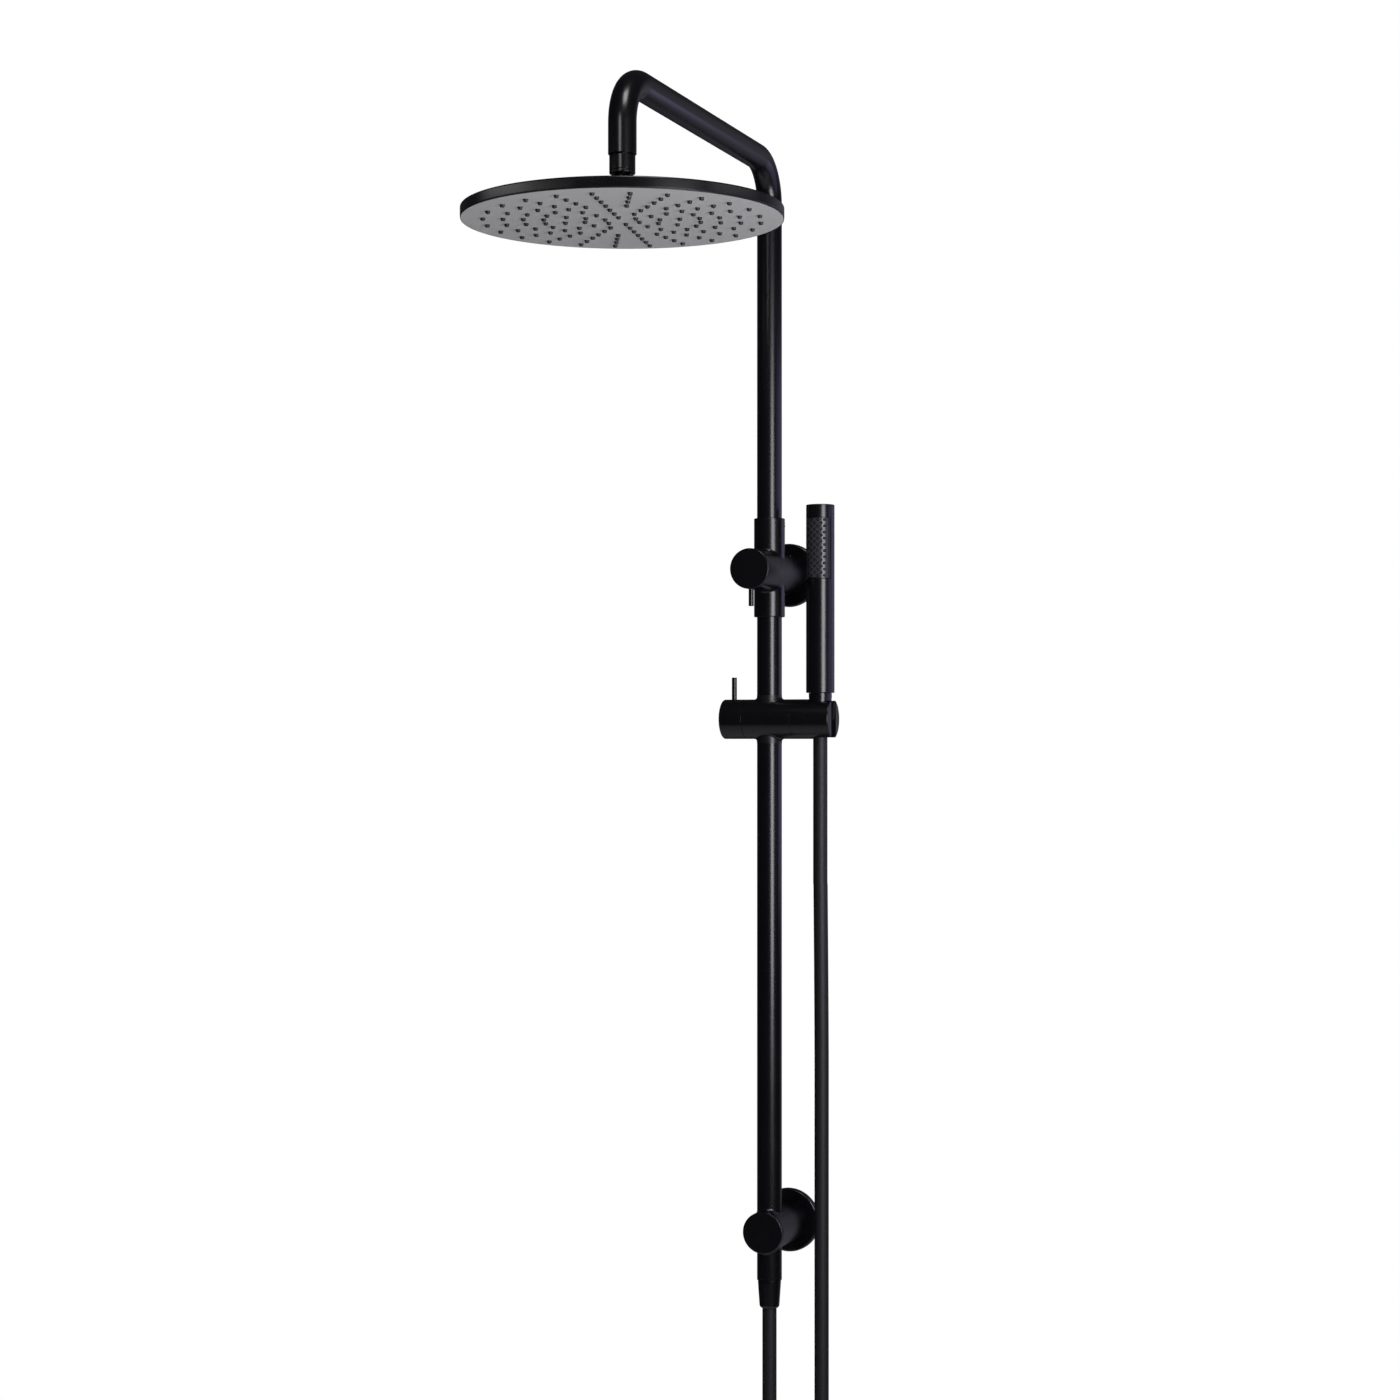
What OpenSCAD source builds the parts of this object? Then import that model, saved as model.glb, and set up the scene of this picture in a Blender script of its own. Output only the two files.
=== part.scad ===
// Rainfall shower column: a wall-fed riser with a diverter, a swivelling gooseneck arm with a
// ball-jointed rain head, and a rail with a sliding holder for a stick handset on a hose.
// Millimetres. +Z is up, the wall is the plane y = 0 and the room is on the -y side.
// The origin is the middle of the upper bracket's footprint on the wall.

/* [Tubes and brackets] */
// Outer diameter of the rail and of the arm
tube_d = 27; // [24:0.5:28]
// Wall of the rail and of the arm
tube_wall = 1.5; // [1:0.1:2.2]
// Distance from the wall to the axis of the rail
rail_off = 70; // [64:1:85]
// Distance between the axes of the two wall brackets
bracket_gap = 715; // [550:5:900]
// Diameter of the diverter body's barrel and of the diverter knob
barrel_d = 43.5; // [40:0.5:46]
// Diameter of the lower bracket's barrel
lower_barrel_d = 45; // [40:0.5:46]
// Diameter of the upright sleeve of the diverter body
sleeve_d = 33.5; // [31:0.5:36]
// Height of the sleeve above the bracket's axis
sleeve_up = 58; // [50:1:70]
// Depth of the sleeve below the bracket's axis
sleeve_down = 49; // [45:1:70]
// Radial play between a tube and the socket that it stands in
socket_play = 0.15; // [0.1:0.05:0.3]
// Diameter of the wall flanges
flange_d = 70; // [64:1:80]
// Depth of the wall flanges
flange_t = 8; // [6:0.5:12]
// Sheet thickness of the wall flanges
flange_wall = 1.6; // [1:0.1:2.5]
// How far the lower bracket stands in front of the rail's axis
lower_nose = 24; // [20:1:32]
// Length of rail between the lower bracket's axis and the hose outlet
tail_len = 54; // [40:1:70]

/* [Diverter] */
// Length of the diverter knob
knob_len = 48; // [36:0.5:55]
// How far the fixed barrel reaches in front of the rail's axis
body_front = 19; // [17.5:0.5:22]
// Diameter of the lever pins
lever_d = 5.5; // [4:0.5:6]
// Length of the diverter lever outside the knob
diverter_lever_out = 18; // [12:1:25]
// Diameter of the ceramic cartridge
cartridge_d = 30; // [26:0.5:31]
// Length of the ceramic cartridge
cartridge_len = 19; // [16:0.5:20]
// Diameter of the cartridge spindle
spindle_d = 8; // [6:0.5:10]

/* [Arm] */
// Distance from the rail's axis to the rain head's axis
arm_reach = 428; // [350:2:480]
// Height of the arm's axis above the upper bracket
arm_rise = 443.5; // [360:0.5:520]
// Bend radius of the arm, on its axis
bend_r = 45; // [38:1:60]
// Length of the arm's drop, from its axis to its lower end
drop_len = 75; // [68:1:110]

/* [Rain head] */
// Diameter of the rain head
head_d = 305; // [250:5:350]
// Thickness of the rain head at its rim
head_t = 11; // [9:0.5:16]
// Diameter of the ball of the swivel
ball_d = 20; // [19:0.5:20.5]
// Diameter of the swivel nut
swivel_nut_d = 24.7; // [24.5:0.1:28]
// Distance from the ball's centre to the back of the rain head
ball_to_head = 37.5; // [36:0.5:50]
// Number of nozzle rings on the rain head
ring_count = 7; // [4:1:7]
// Distance between nozzle rings
ring_pitch = 19; // [16:0.5:19]
// Diameter of a nozzle where it leaves the face
nozzle_d = 4.2; // [3:0.1:5]
// How far the nozzles stand out of the face
nozzle_out = 2.6; // [1.5:0.1:4]

/* [Slider] */
// Diameter of the slider, of its knob and of the holder
slider_d = 43; // [40:0.5:46]
// Height of the slider's axis below the upper bracket
slider_drop = 160; // [130:1:300]
// End of the slider's knob, from the rail's axis
knob_end = 51.5; // [46:0.5:60]
// Seam between the knob and the slider, from the rail's axis
knob_seam = 25.5; // [22:0.5:28]
// Seam between the slider and the holder, from the rail's axis
holder_seam = 29.5; // [28:0.5:34]
// Axis of the handset, from the rail's axis
handset_x = 58; // [58:0.5:66]
// Wall of the holder at its outer end, beside the socket
holder_lip = 2.6; // [1.2:0.1:4]
// Length of the slider's lever outside the knob
slider_lever_out = 24; // [15:1:30]

/* [Handset and hose] */
// Diameter of the handset
handset_d = 30.7; // [28:0.1:34]
// Length of the handset
handset_len = 203; // [180:1:230]
// Wall of the handset's tube
handset_wall = 1.6; // [1.2:0.1:2.5]
// Height of the spray window
spray_h = 66; // [50:1:80]
// Half angle of the spray window round the handset
spray_half = 66; // [40:1:75]
// Distance from the handset's top to the spray window
spray_top = 14; // [10:1:30]
// Diameter of the hose
hose_d = 15.5; // [13:0.5:15.5]
// Diameter of a hose nut at its wide end
hose_nut_d = 25; // [24:0.5:27]
// Diameter of a hose nut at its narrow end
hose_nut_tip_d = 21.6; // [20:0.1:23]
// Length of a hose nut
hose_nut_len = 30; // [26:1:40]

/* [Hidden] */
$fn = 64;

// Gap between two faces that don't move against each other, and at a visible seam
fit_gap = 0.05;
seam_gap = 0.3;
// Play of a part that turns on a pin or in a bore
run_play = 0.06;
// G 1/2 pipe thread, drawn plain at its outer diameter, and the bore of its nut
thread_d = 20.9;
thread_len = 10;
nut_bore_d = thread_d + 0.2;
union_len = 12;
union_hex = 28;
union_hex_t = 3;
washer_t = 1.6;
waterway_d = 12;

tube_r = tube_d / 2;
tube_in_r = tube_r - tube_wall;
socket_r = tube_r + socket_play;
barrel_r = barrel_d / 2;
lower_r = lower_barrel_d / 2;
lower_z = -bracket_gap;
wall_gap = union_hex_t + 0.2;

// Spigots at the ends of the tubes, each with two sealing rings
spigot_len = 22;
plug_len = 12;
ring_wire_r = 1;
ring_groove_w = 2.4;
tube_in_sleeve = 4.5;
arm_foot_z = sleeve_up - tube_in_sleeve;
rail_top_z = -sleeve_down + tube_in_sleeve;
rail_end_z = lower_z - tail_len;
nipple_flange_t = 2;

// Diverter, along y, with the barrel's front at body_y
body_y = -rail_off - body_front;
knob_y = body_y - seam_gap;
knob_front_y = knob_y - knob_len;
chamber_y = body_y + 27;
cartridge_back_y = chamber_y - 0.2;
cartridge_front_y = cartridge_back_y - cartridge_len;
grub_d = 4;
grub_turn = 20;
lever_y = knob_front_y + 7;
lever_sink = 11;

// Rain head, upright, from the arm's end down
drop_end_z = arm_rise - drop_len;
swivel_nut_top = drop_end_z - seam_gap;
ball_z = drop_end_z - 13;
ball_r = ball_d / 2;
ball_play = 0.15;
ball_flat = 2;
nut_bottom = ball_z - 5.5;
seal_z = ball_z + 4.3;
collar_d = 18.6;
collar_top = ball_z - 8;
head_back_z = ball_z - ball_to_head;
head_face_z = head_back_z - head_t;
hub_h = 14;
hub_d = 32;
plate_t = 1.2;
head_y = -rail_off - arm_reach;
mat_t = 1.8;
shell_wall = 2;
rim_wall = 4;
ring_arms = [6, 12, 12, 24, 24, 24, 24];
first_ring = 17;
nozzle_turn = 10;

// Slider, along x at slider_z
slider_z = -slider_drop;
slider_r = slider_d / 2;
boss_up = 3.6;
boss_d = tube_d + 3.2;
bush_wall = 0.8;
bush_play = 0.03;
bush_len = 12;
bush_lip = 0.6;
screw_d = 8;
shoe_d = 10;
shoe_len = 3.6;
pivot_d = 10;
pivot_head_d = 16;

// Handset, upright at handset_x
nut_r = hose_nut_d / 2;
nut_tip_r = hose_nut_tip_d / 2;
nut_show = 6.5;
handset_z = slider_z + slider_r + nut_show + seam_gap;
handset_nut_z = handset_z - seam_gap;
socket_gap = 0.15;
holder_end = handset_x + nut_r + socket_gap + holder_lip - 0.3;
handset_r = handset_d / 2;
handset_in_r = handset_r - handset_wall;
cap_t = 2.5;
window_top = handset_z + handset_len - spray_top;
window_bottom = window_top - spray_h;
frame_w = 1.1;
frame_side = 12;

// Route of the hose in the plane of the rail and the handset, [x, z]: out of the lower nut,
// down, round a hanging loop and up into the handset's nut
hose_route = [[0, -785], [0, -840], [0, -900], [0, -960], [0, -1010], [-2, -1030], [-9, -1050],
    [-20, -1067], [-32, -1089], [-34.5, -1113], [-28, -1137], [-13, -1156], [7, -1168], [29, -1172],
    [51, -1168], [71, -1156], [86, -1137], [92.5, -1113], [90, -1089], [78, -1067], [67, -1050],
    [61, -1030], [59.5, -1010], [59.5, -940], [59.5, -860], [59.5, -780], [59.5, -700], [59.5, -610],
    [59.5, -520], [59, -430], [58.3, -340], [58, -250], [58, -200], [58, -147]];
hose_sides = 10;

satin_black = "#1a1a1e";
black_rubber = "#222226";
brass = "#b5924c";
steel = "#9a9ca0";
face_grey = "#8c8c8c";
plastic_black = "#202024";
white_plastic = "#d8d8d4";

// Stands a shape that was drawn along z along +y or +x
module along_y(x, z) translate([x, 0, z]) rotate([-90, 0, 0]) children();
module along_x(y, z) translate([0, y, z]) rotate([0, 90, 0]) children();
module at_rail() translate([0, -rail_off, 0]) children();
module at_head() translate([0, head_y, 0]) children();
module at_handset() translate([handset_x, -rail_off, 0]) children();

// A round bar from low to high
module rod(r, low, high) translate([0, 0, low]) cylinder(r = r, h = high - low);
// A round bar with 45 degree edges
module edged_rod(r, low, high, edge_low, edge_high) translate([0, 0, low]) rotate_extrude()
    polygon([[0, 0], [r - edge_low, 0], [r, edge_low], [r, high - low - edge_high],
        [r - edge_high, high - low], [0, high - low]]);
module ring(r_out, r_in, low, high) difference() {
    rod(r_out, low, high);
    rod(r_in, low - 1, high + 1);
}
module o_ring(groove_r, z) translate([0, 0, z]) rotate_extrude()
    translate([groove_r + ring_wire_r, 0]) circle(r = ring_wire_r, $fn = 24);

// A set screw from low to high, with its hexagon socket at the high end
module set_screw(d, low, high) difference() {
    rod(d / 2, low, high);
    translate([0, 0, high - 1.6]) cylinder(d = d / 2, h = 2, $fn = 6);
}

// The wall flange: a shallow spun cup with a rolled edge and a hole for the barrel
module wall_flange(z, hole_r) color(satin_black) along_y(0, z) difference() {
    translate([0, 0, -flange_t]) rotate_extrude() {
        translate([0, 2]) square([flange_d / 2, flange_t - 2]);
        square([flange_d / 2 - 2, 4]);
        translate([flange_d / 2 - 2, 2]) circle(r = 2, $fn = 32);
    }
    rod(flange_d / 2 - flange_wall - 1, -flange_t + flange_wall, 1);
    rod(hole_r, -flange_t - 1, 1);
}

// A machined spigot: a collar with two ring grooves, and a plug that is brazed into the tube
module spigot(low, high, plug_low, plug_high) difference() {
    union() {
        rod(tube_r, low, high);
        rod(tube_in_r - fit_gap, plug_low, plug_high);
    }
    for (z = spigot_rings(low)) ring(tube_r + 1, spigot_groove_r, z - ring_groove_w / 2, z + ring_groove_w / 2);
    rod(7, min(low, plug_low) - 1, max(high, plug_high) + 1);
}
function spigot_rings(low) = [low + spigot_len * 0.3, low + spigot_len * 0.65];
spigot_groove_r = socket_r - 2 * ring_wire_r - 0.03;

// A tapered hose nut with its wide, threaded mouth at z = 0 and its tip below
module hose_nut() difference() {
    rotate_extrude() polygon([[0, 0], [nut_r - 0.8, 0], [nut_r, -0.8],
        [nut_tip_r, -hose_nut_len + 1.5], [nut_tip_r - 1.2, -hose_nut_len], [0, -hose_nut_len]]);
    rod(nut_bore_d / 2, -thread_len - washer_t - 1, 1);
    rod(hose_d / 2 + 0.4, -hose_nut_len - 1, 0);
}
module hose_washer(top) ring(nut_bore_d / 2 - fit_gap, 6, top - washer_t, top);

module upper_wall_flange() wall_flange(0, barrel_r + seam_gap);
module lower_wall_flange() wall_flange(lower_z, lower_r + seam_gap);

// Brass union: a thread for the wall's elbow, a hexagon and a thread for the diverter body
module wall_inlet_union() color(brass) along_y(0, 0) difference() {
    union() {
        rod(thread_d / 2, -wall_gap - thread_len, union_len);
        translate([0, 0, -union_hex_t]) cylinder(d = union_hex, h = union_hex_t, $fn = 6);
    }
    rod(waterway_d / 2, -wall_gap - thread_len - 1, union_len + 1);
}
module inlet_washer() color(black_rubber) along_y(0, 0)
    ring(nut_bore_d / 2 - fit_gap, waterway_d / 2, -wall_gap - thread_len - 0.1 - washer_t,
        -wall_gap - thread_len - 0.1);

// Diverter body: an upright sleeve that both tubes stand in, crossed by the barrel to the wall
module diverter_body() color(satin_black) difference() {
    union() {
        at_rail() edged_rod(sleeve_d / 2, -sleeve_down, sleeve_up, 0.6, 0.6);
        along_y(0, 0) rod(barrel_r, body_y, -wall_gap);
    }
    at_rail() {
        rod(socket_r, arm_foot_z - spigot_len - 0.5, sleeve_up + 1);
        rod(socket_r, -sleeve_down - 1, rail_top_z + spigot_len + 0.5);
        rod(waterway_d / 2, rail_top_z, arm_foot_z);
        for (side = [0, 1]) grub_place(side) rod(grub_d / 2 + fit_gap, tube_r - 1, sleeve_d / 2 + 1);
    }
    along_y(0, 0) {
        rod(cartridge_d / 2 + 0.1, body_y - 1, chamber_y);
        rod(waterway_d / 2, chamber_y - 1, 0);
        rod(nut_bore_d / 2, -wall_gap - thread_len - 0.2 - washer_t, 0);
    }
}
// The two set screws of the sleeve: one for the arm, one for the rail
module grub_place(side) rotate([0, 0, side == 0 ? grub_turn : 90])
    translate([0, 0, side == 0 ? sleeve_up - 7 : -sleeve_down + 7]) rotate([0, 90, 0]) children();
module sleeve_grub_screws() color(steel) at_rail() for (side = [0, 1])
    grub_place(side) set_screw(grub_d, tube_r + 0.1, sleeve_d / 2 + 0.3);

module diverter_cartridge() color(white_plastic) along_y(0, 0) difference() {
    rod(cartridge_d / 2, cartridge_front_y, cartridge_back_y);
    rod(5, -rail_off, cartridge_back_y + 1);
    translate([0, -cartridge_d, -rail_off]) rotate([-90, 0, 0]) cylinder(r = 4, h = 2 * cartridge_d);
    rod(spindle_d / 2 + run_play, cartridge_front_y - 1, cartridge_front_y + 5);
}
module cartridge_nut() color(brass) along_y(0, 0)
    ring(cartridge_d / 2, spindle_d / 2 + 3, body_y + 1, cartridge_front_y - fit_gap);

module rail() color(satin_black) at_rail()
    ring(tube_r, tube_in_r, rail_end_z + nipple_flange_t, rail_top_z);
module rail_top_spigot() color(brass) at_rail()
    spigot(rail_top_z, rail_top_z + spigot_len, rail_top_z - plug_len, rail_top_z);
module rail_o_rings() color(black_rubber) at_rail()
    for (z = spigot_rings(rail_top_z)) o_ring(spigot_groove_r, z);
module rail_outlet_nipple() color(brass) at_rail() difference() {
    union() {
        rod(tube_r, rail_end_z, rail_end_z + nipple_flange_t - fit_gap);
        rod(tube_in_r - fit_gap, rail_end_z, rail_end_z + nipple_flange_t + plug_len);
        rod(thread_d / 2, rail_end_z - thread_len, rail_end_z);
    }
    rod(waterway_d / 2, rail_end_z - thread_len - 1, rail_end_z + plug_len + 5);
}

// Lower bracket: a solid barrel on a wall stud, bored through for the rail
cap_disc_t = 3;
cap_spigot_d = lower_barrel_d - 12;
lower_face_y = -rail_off - lower_nose;
cap_back_y = lower_face_y + cap_disc_t;
clamp_d = 6;
stud_d = 12;
stud_len = 36;
stud_screw_d = 5;
stud_screw_y = -28;
module lower_bracket_body() color(satin_black) difference() {
    along_y(0, lower_z) rod(lower_r, cap_back_y, -wall_gap);
    at_rail() rod(socket_r, lower_z - lower_r - 1, lower_z + lower_r + 1);
    along_y(0, lower_z) {
        rod(stud_d / 2 + 0.1, -wall_gap - stud_len, 0);
        rod(cap_spigot_d / 2 + 0.1, cap_back_y - 1, cap_back_y + cap_disc_t);
        rod(clamp_d / 2 + fit_gap, cap_back_y, -rail_off);
    }
    translate([0, stud_screw_y, 0]) rod(stud_screw_d / 2 + fit_gap, lower_z - lower_r - 1, lower_z);
}
module lower_bracket_cap() color(satin_black) along_y(0, lower_z) {
    edged_rod(lower_r, lower_face_y, cap_back_y - fit_gap, 0.8, 0);
    rod(cap_spigot_d / 2, cap_back_y - fit_gap, cap_back_y + cap_disc_t - 0.3);
}
module rail_clamp_screw() color(steel) along_y(0, lower_z) mirror([0, 0, 1])
    set_screw(clamp_d, rail_off + tube_r + 0.1, -cap_back_y - cap_disc_t - 0.1);
module bracket_grub_screw() color(steel) translate([0, stud_screw_y, lower_z]) mirror([0, 0, 1])
    set_screw(stud_screw_d, stud_d / 2 + 0.1, stud_d / 2 + 8);
fixing_plate_d = flange_d - 11;
fixing_hole_x = lower_r + 3.2;
module lower_fixing_plate() color(steel) along_y(0, lower_z) difference() {
    union() {
        rod(fixing_plate_d / 2, -union_hex_t, 0);
        rod(stud_d / 2, -wall_gap - stud_len + 1, 0);
    }
    for (side = [-1, 1]) translate([side * fixing_hole_x, 0, 0]) rod(2.6, -union_hex_t - 1, 1);
}

module lower_hose_nut() color(satin_black) at_rail() translate([0, 0, rail_end_z - seam_gap]) hose_nut();
module lower_hose_washer() color(black_rubber) at_rail()
    hose_washer(rail_end_z - thread_len - 0.1);

// The hose: rings of points across the route, joined into one closed tube
function spline(p, k, t) = let (
    a = p[max(k - 1, 0)], b = p[k], c = p[k + 1], d = p[min(k + 2, len(p) - 1)])
    0.5 * (2 * b + (c - a) * t + (2 * a - 5 * b + 4 * c - d) * t * t + (3 * b - a - 3 * c + d) * t * t * t);
hose_line = [for (k = [0 : len(hose_route) - 2], t = [0, 0.5]) spline(hose_route, k, t),
    hose_route[len(hose_route) - 1]];
function hose_heading(k) = let (v = hose_line[min(k + 1, len(hose_line) - 1)] - hose_line[max(k - 1, 0)])
    v / norm(v);
function hose_ring(k) = [for (j = [0 : hose_sides - 1]) let (
    v = hose_heading(k), turn = 360 * j / hose_sides, side = hose_d / 2 * cos(turn))
    [hose_line[k][0] + side * v[1], -rail_off + hose_d / 2 * sin(turn), hose_line[k][1] - side * v[0]]];
module shower_hose() color(black_rubber) polyhedron(
    points = [for (k = [0 : len(hose_line) - 1]) each hose_ring(k)],
    faces = concat(
        [[for (j = [0 : hose_sides - 1]) j]],
        [for (k = [0 : len(hose_line) - 2], j = [0 : hose_sides - 1]) let (
            a = k * hose_sides + j, b = k * hose_sides + (j + 1) % hose_sides)
            [a, a + hose_sides, b + hose_sides, b]],
        [[for (j = [hose_sides - 1 : -1 : 0]) (len(hose_line) - 1) * hose_sides + j]]));

// Gooseneck: up out of the sleeve, forwards, and down to the rain head
module arm_solid(r) {
    at_rail() rod(r, arm_foot_z, arm_rise - bend_r);
    along_y(0, arm_rise) rod(r, head_y + bend_r, -rail_off - bend_r);
    at_head() rod(r, drop_end_z, arm_rise - bend_r);
    translate([0, -rail_off - bend_r, arm_rise - bend_r]) bend(r);
    translate([0, head_y + bend_r, arm_rise - bend_r]) mirror([0, 1, 0]) bend(r);
}
// A quarter bend from straight up at +y to level at the top
module bend(r) rotate([90, 0, 90]) rotate_extrude(angle = 90) translate([bend_r, 0]) circle(r = r);
module gooseneck_arm() color(satin_black) difference() {
    arm_solid(tube_r);
    arm_solid(tube_in_r);
    at_rail() rod(tube_in_r, arm_foot_z - 1, arm_rise - bend_r - 1);
    at_head() rod(tube_in_r, drop_end_z - 1, arm_rise - bend_r - 1);
}
module arm_spigot() color(brass) at_rail()
    spigot(arm_foot_z - spigot_len, arm_foot_z, arm_foot_z, arm_foot_z + plug_len);
module arm_o_rings() color(black_rubber) at_rail()
    for (z = spigot_rings(arm_foot_z - spigot_len)) o_ring(spigot_groove_r, z);
module arm_outlet_nipple() color(brass) at_head() difference() {
    union() {
        rod(tube_in_r - fit_gap, drop_end_z, drop_end_z + plug_len);
        rod(thread_d / 2, seal_z + washer_t + 0.1, drop_end_z);
    }
    rod(waterway_d / 2, seal_z, drop_end_z + plug_len + 1);
}
module ball_seal_washer() color(black_rubber) at_head()
    ring(nut_bore_d / 2 - fit_gap, waterway_d / 2 + 0.5, seal_z, seal_z + washer_t);

// Swivel nut: threaded on the arm's nipple, with a round seat that the ball can't drop through
module swivel_nut() color(satin_black) at_head() difference() {
    edged_rod(swivel_nut_d / 2, nut_bottom, swivel_nut_top, 1, 1.2);
    rod(nut_bore_d / 2, ball_z + 3, swivel_nut_top + 1);
    rod(ball_r + ball_play, ball_z, ball_z + 4);
    translate([0, 0, ball_z]) sphere(r = ball_r + ball_play);
}
// Ball and stem in one piece, bored through for the water
module swivel_ball() color(satin_black) at_head() difference() {
    union() {
        intersection() {
            translate([0, 0, ball_z]) sphere(r = ball_r);
            rod(ball_r + 1, ball_z - ball_r, ball_z + ball_flat);
        }
        rod(collar_d / 2, head_back_z + hub_h / 3, collar_top);
    }
    rod(4.5, head_back_z, ball_z + ball_r);
}
module hub_washer() color(black_rubber) at_head()
    ring(collar_d / 2 - fit_gap, 4.5, head_back_z + hub_h / 3 - 0.1 - washer_t, head_back_z + hub_h / 3 - 0.1);
module head_shell() color(satin_black) at_head() difference() {
    union() {
        translate([0, 0, head_face_z + plate_t]) rotate_extrude($fn = 180) {
            square([head_d / 2 - 1.5, head_t - plate_t]);
            square([head_d / 2, head_t - plate_t - 1.5]);
            translate([head_d / 2 - 1.5, head_t - plate_t - 1.5]) circle(r = 1.5, $fn = 32);
        }
        edged_rod(hub_d / 2, head_back_z - 1, head_back_z + hub_h, 0, 1.2);
    }
    rod(head_d / 2 - rim_wall, head_face_z, head_back_z - shell_wall);
    rod(collar_d / 2 + fit_gap, head_back_z + hub_h / 3 - 0.2 - washer_t, head_back_z + hub_h + 1);
    rod(5, head_face_z, head_back_z + hub_h);
}
// The middles of the nozzles: rings of 6, 12 or 24, turned so that their rows line up
nozzle_places = [for (k = [0 : ring_count - 1], j = [0 : ring_arms[k] - 1])
    let (turn = nozzle_turn + (k == 0 ? 30 : 0) + 360 * j / ring_arms[k], r = first_ring + k * ring_pitch)
    [r * cos(turn), r * sin(turn)]];
module head_face_plate() color(face_grey) at_head() translate([0, 0, head_face_z])
    linear_extrude(plate_t - fit_gap) difference() {
        circle(d = head_d - 0.4, $fn = 180);
        for (p = nozzle_places) translate(p) circle(d = nozzle_d + 0.3, $fn = 24);
    }
module nozzle_mat() color(black_rubber) at_head() {
    translate([0, 0, head_face_z + plate_t]) cylinder(r = head_d / 2 - rim_wall - 0.3, h = mat_t);
    for (p = nozzle_places) translate([p[0], p[1], head_face_z - nozzle_out])
        cylinder(d1 = nozzle_d - 1.4, d2 = nozzle_d, h = nozzle_out + plate_t + mat_t / 2, $fn = 24);
}

// Diverter knob: a deep cup over the cartridge's nose, with a square-cut lever pin below
module diverter_knob() color(satin_black) along_y(0, 0) difference() {
    edged_rod(barrel_r, knob_front_y, knob_y, 0.8, 0);
    rod(barrel_r - 5, knob_y - 12, knob_y + 1);
    rod(spindle_d / 2 + 0.02, knob_y - 24, knob_y + 1);
    translate([0, 0, lever_y]) rotate([90, 0, 0])
        translate([0, 0, -barrel_r - 1]) cylinder(d = lever_d + 2 * fit_gap, h = lever_sink + 1);
}
module diverter_spindle() color(brass) along_y(0, 0)
    rod(spindle_d / 2, knob_y - 23.5, cartridge_front_y + 4.5);
module diverter_lever() color(satin_black) translate([0, lever_y, 0])
    edged_rod(lever_d / 2, -barrel_r - diverter_lever_out, -barrel_r + lever_sink - 0.2, 0.5, 0.3);

// Slider: bushings on the rail, the body on the bushings, and a knob and a holder at its ends
bush_r = tube_r + bush_wall;
bush_top = slider_r + boss_up;
module slider_bushings() color(plastic_black) at_rail() translate([0, 0, slider_z])
    for (side = [0, 1]) mirror([0, 0, side]) difference() {
        union() {
            rod(bush_r, bush_top - bush_len, bush_top + seam_gap);
            rod(bush_r + 0.6, bush_top + seam_gap, bush_top + seam_gap + bush_lip);
        }
        rod(tube_r + bush_play, 0, bush_top + 5);
    }
module slider_body() color(satin_black) at_rail() translate([0, 0, slider_z]) difference() {
    union() {
        along_x(0, 0) rod(slider_r, -knob_seam, holder_seam);
        edged_rod(boss_d / 2, -bush_top, bush_top, 0.3, 0.3);
    }
    rod(bush_r + run_play, -bush_top - 1, bush_top + 1);
    along_x(0, 0) {
        rod(screw_d / 2 + run_play, -knob_seam - 1, 0);
        rod(shoe_d / 2 + fit_gap, -tube_r - shoe_len - 1.2, 0);
        rod(screw_d / 2 + fit_gap, 0, holder_seam + 1);
        rod(12.2, holder_seam - 1.2, holder_seam + 1);
    }
}
module slider_clamp_shoe() color(brass) at_rail() along_x(0, slider_z) difference() {
    rod(shoe_d / 2, -tube_r - 0.2 - shoe_len, -tube_r + 2);
    rotate([0, -90, 0]) cylinder(r = tube_r + 0.2, h = 2 * shoe_d, center = true);
}
module holder_pivot_bolt() color(steel) at_rail() along_x(0, slider_z) {
    rod(screw_d / 2, tube_r + bush_wall + 0.6, holder_seam + seam_gap);
    rod(pivot_d / 2, holder_seam + seam_gap, holder_seam + seam_gap + 7.5);
    edged_rod(pivot_head_d / 2, holder_seam + seam_gap + 7.5, holder_seam + seam_gap + 11, 0, 0.8);
}
module holder_friction_washer() color(white_plastic) at_rail() along_x(0, slider_z)
    ring(12, screw_d / 2 + 0.1, holder_seam - 1.15, holder_seam + seam_gap - 0.1);
module slider_knob() color(satin_black) at_rail() along_x(0, slider_z) difference() {
    edged_rod(slider_r, -knob_end, -knob_seam - seam_gap, 1.2, 0);
    rod(screw_d / 2 + 0.02, -knob_end + 6, -knob_seam);
    translate([0, 0, slider_lever_x]) rotate([0, -90, 0])
        translate([0, 0, slider_r - lever_sink]) cylinder(d = lever_d + 2 * fit_gap, h = lever_sink + 1);
}
slider_lever_x = -(knob_end + knob_seam) / 2 - 2;
module slider_lever() color(satin_black) at_rail() translate([slider_lever_x, 0, slider_z])
    edged_rod(lever_d / 2, slider_r - lever_sink + 0.2, slider_r + slider_lever_out, 0.3, 0.5);
module slider_clamp_screw() color(brass) at_rail() along_x(0, slider_z)
    rod(screw_d / 2, -knob_end + 6.3, -tube_r - 0.2 - shoe_len - 0.2);

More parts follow.
